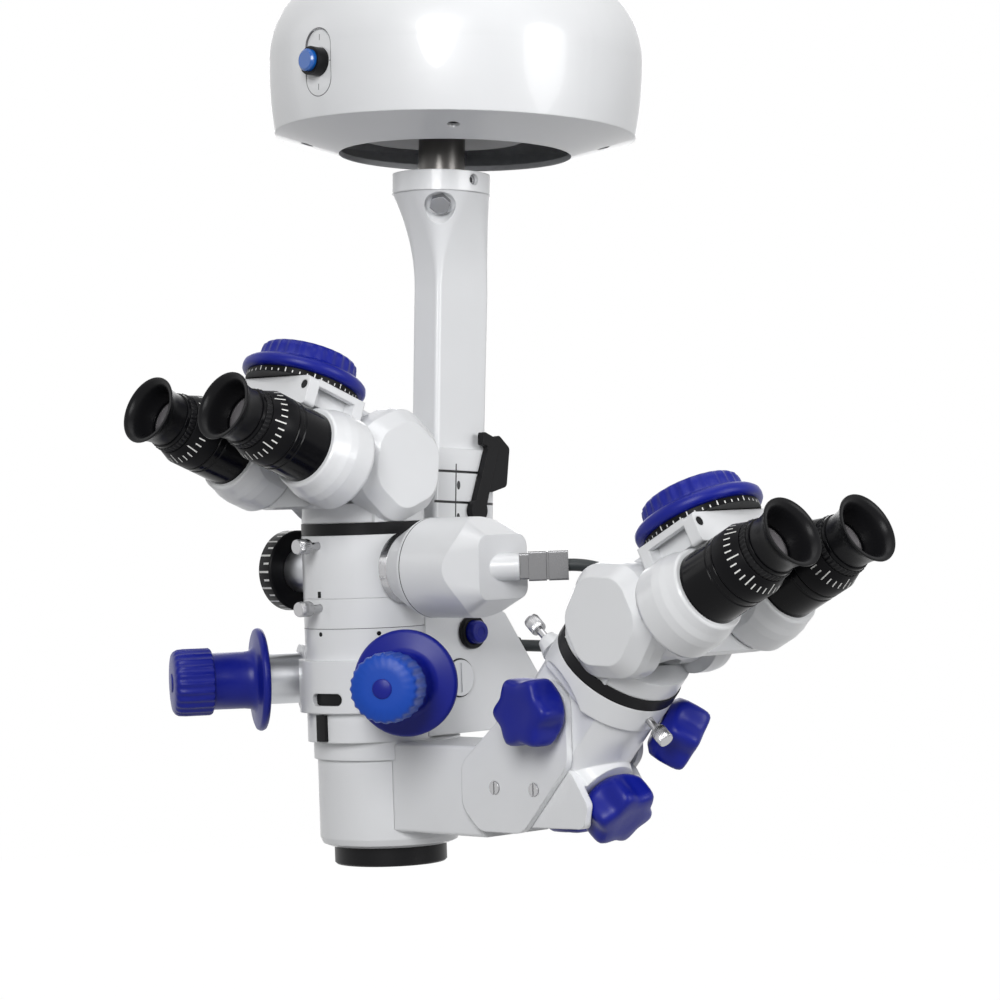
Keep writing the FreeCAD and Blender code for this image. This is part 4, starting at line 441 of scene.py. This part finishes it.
DIAL_PLACE = stand(HEAD, (-54.05, -15, 169.5), (-1, 0, 0))
DIAL_RINGS = [(13.4, 0), (22.6, 0), (23.5, 0.9), (23.5, 9.6), (22.6, 10.8), (21.0, 11.0), (18.0, 10.6),
              (6.0, 10.6)]
dial_black = marked("dial_scale", DIAL_PLACE, 30, 1.5, 9.5, 2, 0.12)
dial = turned("dial_wheel", DIAL_RINGS, DIAL_PLACE, dial_black, segments=180)
stands_for(dial, "scale_dial", "scale_dial")
BEZEL_RINGS = [(6.9, 0.05), (9.6, 0.05), (9.8, 0.4), (9.8, 2.6), (9.2, 3.4), (7.4, 3.4), (6.9, 2.8),
               (6.9, 0.05)]
PUSH_RINGS = [(AT_AXIS, 0.1), (6.7, 0.1), (6.7, 6.8), (6.0, 8.2), (3.2, 8.6), (3.0, 8.2), (AT_AXIS, 8.2)]
FLANK_X = 33.35
DEPTH_PLACE = stand(HEAD, (FLANK_X, 38, 131), (1, 0, 0))
bezel = turned("depth_bezel", BEZEL_RINGS, DEPTH_PLACE, ANODISED_AND_HOLE_SHADE)
stands_for(bezel, "depth_knob", "depth_knob")
push = turned("depth_cap", PUSH_RINGS, DEPTH_PLACE, BLUE, segments=120)
stands_for(push, "depth_knob", "depth_knob")
PALE_DISC = finish("pale_disc", (0.62, 0.63, 0.65), 0.4, metallic=0.4, grain=0.8, depth=0.006, edge=0.4)
dress(PALE_DISC, "latch_disc")


def inlay(name, rings, place, body, coat=ANODISED_AND_HOLE_SHADE, part_slot="black_metal", **form):
    """A small turned detail that rides on a body without standing for a node."""
    piece = turned(name, rings, place, coat, **form)
    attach(piece, body)


def hoop(radius, low, high, width):
    return [(radius, low), (radius + width, low), (radius + width, high), (radius, high), (radius, low)]


def curved_strip(name, radius, depth, low, high, half_turn, place):
    """A dark strip that follows a round face: half_turn radians to each side of minus Y."""
    shape = bmesh.new()
    bmesh.ops.create_grid(shape, x_segments=24, y_segments=1, size=1)
    lifted = bmesh.ops.extrude_face_region(shape, geom=shape.faces[:])["geom"]
    outer = {g for g in lifted if isinstance(g, bmesh.types.BMVert)}
    for vert in shape.verts:
        angle = vert.co.x * half_turn
        reach = radius + depth if vert in outer else radius
        height = low + (high - low) * (vert.co.y * 0.5 + 0.5)
        vert.co = (reach * sin(angle), -reach * cos(angle), height)
    bmesh.ops.recalc_face_normals(shape, faces=shape.faces)
    piece = set_piece(name, shape, place, ANODISED_AND_HOLE_SHADE)
    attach(piece, "head")


# Dark details of the body: the seams, the insert in the collar's slot, the bar under it, black patches
# in the small holes as painted shade, and the line round the slotted disc.
COLUMN = HEAD @ Matrix.Translation((0, -0.013, 0))
COLUMN_R = 36
SLOT_TURN = Matrix.Rotation(radians(9), 4, "Z")
curved_strip("slot_insert", COLUMN_R + 0.1, 0.9, 93.6, 100.4, 0.27, COLUMN @ SLOT_TURN)
curved_strip("body_bar", COLUMN_R + 0.1, 2.5, 73, 88, 0.094, COLUMN)
# A thin black patch over the square hole: painted shade for its dark inside.
curved_strip("square_hole_shade", COLUMN_R, 0.1, 154.8, 158.4, 0.036, COLUMN)
inlay("body_seam", hoop(35.9, 136.85, 137.15, 0.16), COLUMN, "head", segments=180)
# Black discs on the two small holes: painted shade for their dark inside, in the black anodised finish.
HOLE_SHADE_RINGS = [(AT_AXIS, -0.3), (1.3, -0.3), (1.3, 0.1), (AT_AXIS, 0.1)]
for spot, degrees in enumerate((0, 57.9)):
    out = Vector((sin(radians(degrees)), -cos(radians(degrees)), 0))
    inlay(f"body_hole_shade_{spot}", HOLE_SHADE_RINGS, stand(HEAD, Vector((0, -13, 134)) + out * COLUMN_R, out), "head",
          segments=32)
inlay("latch_line", hoop(10.5, 0.05, 0.25, 0.8), stand(HEAD, (FLANK_X, 27.8, 105), (1, 0, 0)), "head")

# Video camera: a white housing that turns from round to square, on a bright coupling
# ring, with a metal plug in its angled port and a black gland at the cable's other end.
dress(WHITE, "camera_housing")
dress(BRIGHT, "camera_ring")
PLUG_METAL = finish("plug_metal", (0.20, 0.20, 0.205), 0.26, metallic=1.0, grain=0.5, depth=0.006, edge=0.4)
dress(PLUG_METAL, "camera_plug")
inlay("camera_seam", hoop(28.2, -0.25, 0.25, 0.16), stand(HEAD, (61, -15.4, 170.4), (1, 0, 0)), "head",
      segments=120)
dress(ANODISED_AND_HOLE_SHADE, "cable_gland")

# Co-observation arm: the beam box on the lower housing, two white cheeks with slotted
# screws, and between them the tilting arm that ends in the sleeve of the assistant tube.
dress(WHITE, "coobserver_box", "cheek_plates", "tilt_arm")
dress(BRIGHT, "sleeve_screws")

# Star knobs: solid six-lobed grips moulded in blue plastic on a steel stud. Four of them
# clamp the tilt joint, the lower collar, the box and the sleeve of the assistant tube.
LEAN = radians(42)
TUBE_AXIS = Vector((sin(LEAN), 0, cos(LEAN)))
TUBE_DOWN = Vector((cos(LEAN), 0, -sin(LEAN)))
CO_RING = Vector((186.4, 0, 118.4))
SLEEVE_OUT = TUBE_DOWN * cos(radians(40)) + Vector((0, 1, 0)) * sin(radians(40))
CHEEK_FACE = 30.35
STAR_PLACES = {
    "star_knob_upper": ((159, -CHEEK_FACE, 93), (0, -1, 0)),
    "star_knob_lower": (CO_RING - TUBE_AXIS * 63 + TUBE_DOWN * 37, TUBE_DOWN),
    "star_knob_rear": ((104, CHEEK_FACE, 36), (0, 1, 0)),
    "star_knob_sleeve": (CO_RING - TUBE_AXIS * 22 + SLEEVE_OUT * 36, SLEEVE_OUT),
}
STAR_RINGS = [(13.0, 0.35), (14.0, 0.9), (17.5, 3.6, 0.3), (19.0, 5.2, 1.2), (20.0, 7.0, 2.6),
              (20.5, 9.0, 3.6), (20.6, 13.0, 3.8), (20.5, 17.0, 3.8), (20.2, 19.5, 3.8),
              (19.4, 21.4, 3.6), (18.0, 22.6, 3.2), (16.0, 23.1, 2.4), (10.0, 23.2, 0.6),
              (6.0, 22.9), (3.0, 22.8)]
for name, (start_at, out) in STAR_PLACES.items():
    grip = turned("grip_" + name, STAR_RINGS, stand(HEAD, start_at, out), BLUE, lobes=6, sharp=50)
    stands_for(grip, name, name)

# Thumb screws: knurled sleeves on the heads of the bright screws, two in front of the body and
# two that hold the assistant tube in its sleeve.
KNURL_RINGS = [(3.9, 7.9), (4.4, 8.3, 0.35), (4.4, 15.7, 0.35), (3.9, 16.1)]
THUMB_SPOTS = [((0, -49, 184.5), (0, -1, 0), "head"), ((0, -49, 149), (0, -1, 0), "head"),
               (CO_RING + Vector((0, -10, 0)) - TUBE_AXIS * 21 - TUBE_DOWN * 41, -TUBE_DOWN,
                "assistant_arm"),
               (CO_RING - TUBE_AXIS * 10 + TUBE_DOWN * 36, TUBE_DOWN, "assistant_arm")]
for spot, (start_at, out, body) in enumerate(THUMB_SPOTS):
    inlay(f"knurl_{spot}", KNURL_RINGS, stand(HEAD, start_at, out), body, coat=BRIGHT,
          part_slot="chrome", segments=168, lobes=28, sharp=60)

# Binocular tubes: the frame of each tilting eyepiece head. Minus Y looks at the observer,
# Z is up from the pair of eyepieces, and the origin is on the tilt axis.
MAIN_TUBE = HEAD @ Matrix.Translation((0, -0.013, 0.190))
CO_SEAT = (CO_RING - TUBE_AXIS * 3.5) * MM
ASSISTANT_TUBE = (HEAD @ Matrix.Translation(CO_SEAT) @ Matrix.Rotation(LEAN, 4, "Y")
                  @ Matrix.Rotation(pi / 2, 4, "Z"))
TILT_PIN = Matrix.Translation((0, -0.004, 0.039))
TUBES = {"main": (MAIN_TUBE @ TILT_PIN @ Matrix.Rotation(radians(-21.8), 4, "X"), 64.0),
         "assistant": (ASSISTANT_TUBE @ TILT_PIN @ Matrix.Rotation(radians(-68.5), 4, "X"), 60.0)}
for tube in TUBES:
    dress(WHITE, *(f"{tube}_{part}" for part in ("tube_base", "eye_frame", "ocular_left", "ocular_right")))
    dress(ANODISED_AND_HOLE_SHADE, tube + "_mount_ring")

# Pupil-distance wheels: a black scale ring under a blue wheel with a wide rounded flange
# and a fluted top, on the deck between the two eyepieces.
SCALE_RINGS = [(20.0, 25.2), (32.6, 25.2), (32.6, 28.6), (20.0, 28.6)]
WHEEL_RINGS = [(20.0, 28.7), (33.2, 28.7), (34.8, 29.2), (35.8, 30.6), (36.0, 32.4), (35.6, 34.4),
               (34.0, 36.0), (30.4, 36.6), (29.0, 37.4), (28.4, 39.0, 0.9), (28.0, 43.5, 1.1),
               (27.4, 45.8, 0.9), (26.0, 47.0, 0.3), (24.0, 47.2), (22.8, 46.5), (8.0, 46.4)]
BRACKET_HOLE_SHADE_RINGS = [(AT_AXIS, -0.6), (2.5, -0.6), (2.5, -0.2), (AT_AXIS, -0.2)]
for tube, (eyes, _) in TUBES.items():
    place = eyes @ Matrix.Translation((0, -0.054, 0))
    ring_black = marked("pupil_scale_" + tube, place, 48, 25.6, 28.2, 4, 0.08)
    scale = turned("pupil_scale_" + tube, SCALE_RINGS, place, ring_black)
    stands_for(scale, tube + "_pd_wheel", tube + "_wheel")
    wheel = turned("pupil_wheel_" + tube, WHEEL_RINGS, place, BLUE, segments=216, lobes=27, sharp=60)
    stands_for(wheel, tube + "_pd_wheel", tube + "_wheel")
    # Black discs on the bracket's two holes: painted shade for their dark inside.
    for side in (-1, 1):
        inlay(f"bracket_hole_shade_{tube}_{side}", BRACKET_HOLE_SHADE_RINGS,
              stand(eyes, (side * 29, -77, 19.5), (0, -1, 0)), tube + "_eyes", segments=48)

# Eyepieces: gloss-black barrels, a conical setting ring with white lines, a ribbed ring
# and a flared rubber cup round the coated eye lens.
BARREL_RINGS = [(13.0, 0.05), (20.5, 0.05), (20.5, 19.0), (20.0, 19.5), (20.0, 20.6), (20.5, 21.1),
                (20.5, 23.6), (20.0, 24.1), (13.0, 24.1)]
SETTING_RINGS = [(14.2, 24.4), (20.0, 24.4), (20.5, 24.9), (20.5, 33.5), (20.0, 34.6), (17.6, 41.0),
                 (17.2, 41.6), (14.2, 41.6)]
RIB_RINGS = [(14.2, 41.7), (16.7, 41.7), (17.2, 42.2, 0.8), (17.2, 45.3, 0.8), (16.7, 45.8),
             (14.2, 45.8)]
NECK_RINGS = [(12.6, 45.9), (16.2, 45.9), (16.4, 46.3), (16.2, 47.9), (15.4, 48.2), (12.6, 48.2),
              (12.6, 45.9)]
CUP_RINGS = [(15.4, 48.3), (15.3, 51.0), (16.0, 56.0), (17.4, 60.5), (19.0, 62.6), (19.6, 63.4),
             (19.4, 64.0), (18.4, 64.1), (16.4, 62.9), (14.8, 60.0), (13.8, 55.0), (13.2, 50.0),
             (12.7, 48.3), (15.4, 48.3)]
LENS_RINGS = [(AT_AXIS, 49.6), (4.0, 49.4), (8.0, 48.7), (11.0, 47.6), (12.5, 46.6), (12.5, 44.6)]
GLOSS_BLACK = finish("black_gloss", (0.004, 0.004, 0.005), 0.16, uneven=0.1, grain=2.5, depth=0.004,
                     edge=0.5, gleam=0.1)
RUBBER = finish("black_rubber", (0.008, 0.008, 0.009), 0.3, uneven=0.12, grain=0.7, depth=0.03, edge=0.6,
                gleam=0.1)
EYE_GLASS = glass("eye_lens", Base_Color=(0.2, 0.19, 0.2, 1), Roughness=0.04, Specular_IOR_Level=1.0,
                  Coat_Weight=1.0, Coat_Roughness=0.02)
for tube, (eyes, pupil_distance) in TUBES.items():
    for side, hand in ((-1, "left"), (1, "right")):
        node = f"{tube}_eyecup_{hand}"
        body = f"{tube}_{hand}"
        place = (eyes @ Matrix.Translation((side * pupil_distance / 2 * MM, -0.067, -0.0145))
                 @ Matrix.Rotation(pi / 2, 4, "X"))
        barrel = turned(f"barrel_{body}", BARREL_RINGS, place, GLOSS_BLACK, sharp=30)
        stands_for(barrel, f"{tube}_barrel_{hand}", body)
        ring_black = marked(f"setting_{body}", place, 32, 33.8, 40.2, 4, 0.1)
        setting = turned(f"setting_{body}", SETTING_RINGS, place, ring_black, sharp=30)
        stands_for(setting, node, body + "_cup")
        ribs = turned(f"ribs_{body}", RIB_RINGS, place, ANODISED_AND_HOLE_SHADE, segments=240, lobes=40, sharp=60)
        stands_for(ribs, node, body + "_cup")
        neck = turned(f"neck_{body}", NECK_RINGS, place, GLOSS_BLACK, sharp=30)
        stands_for(neck, node, body + "_cup")
        cup = turned(f"cup_{body}", CUP_RINGS, place, RUBBER, sharp=60)
        stands_for(cup, node, body + "_cup")
        lens = turned(f"lens_{body}", LENS_RINGS, place, EYE_GLASS, sharp=60)
        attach(lens, body)
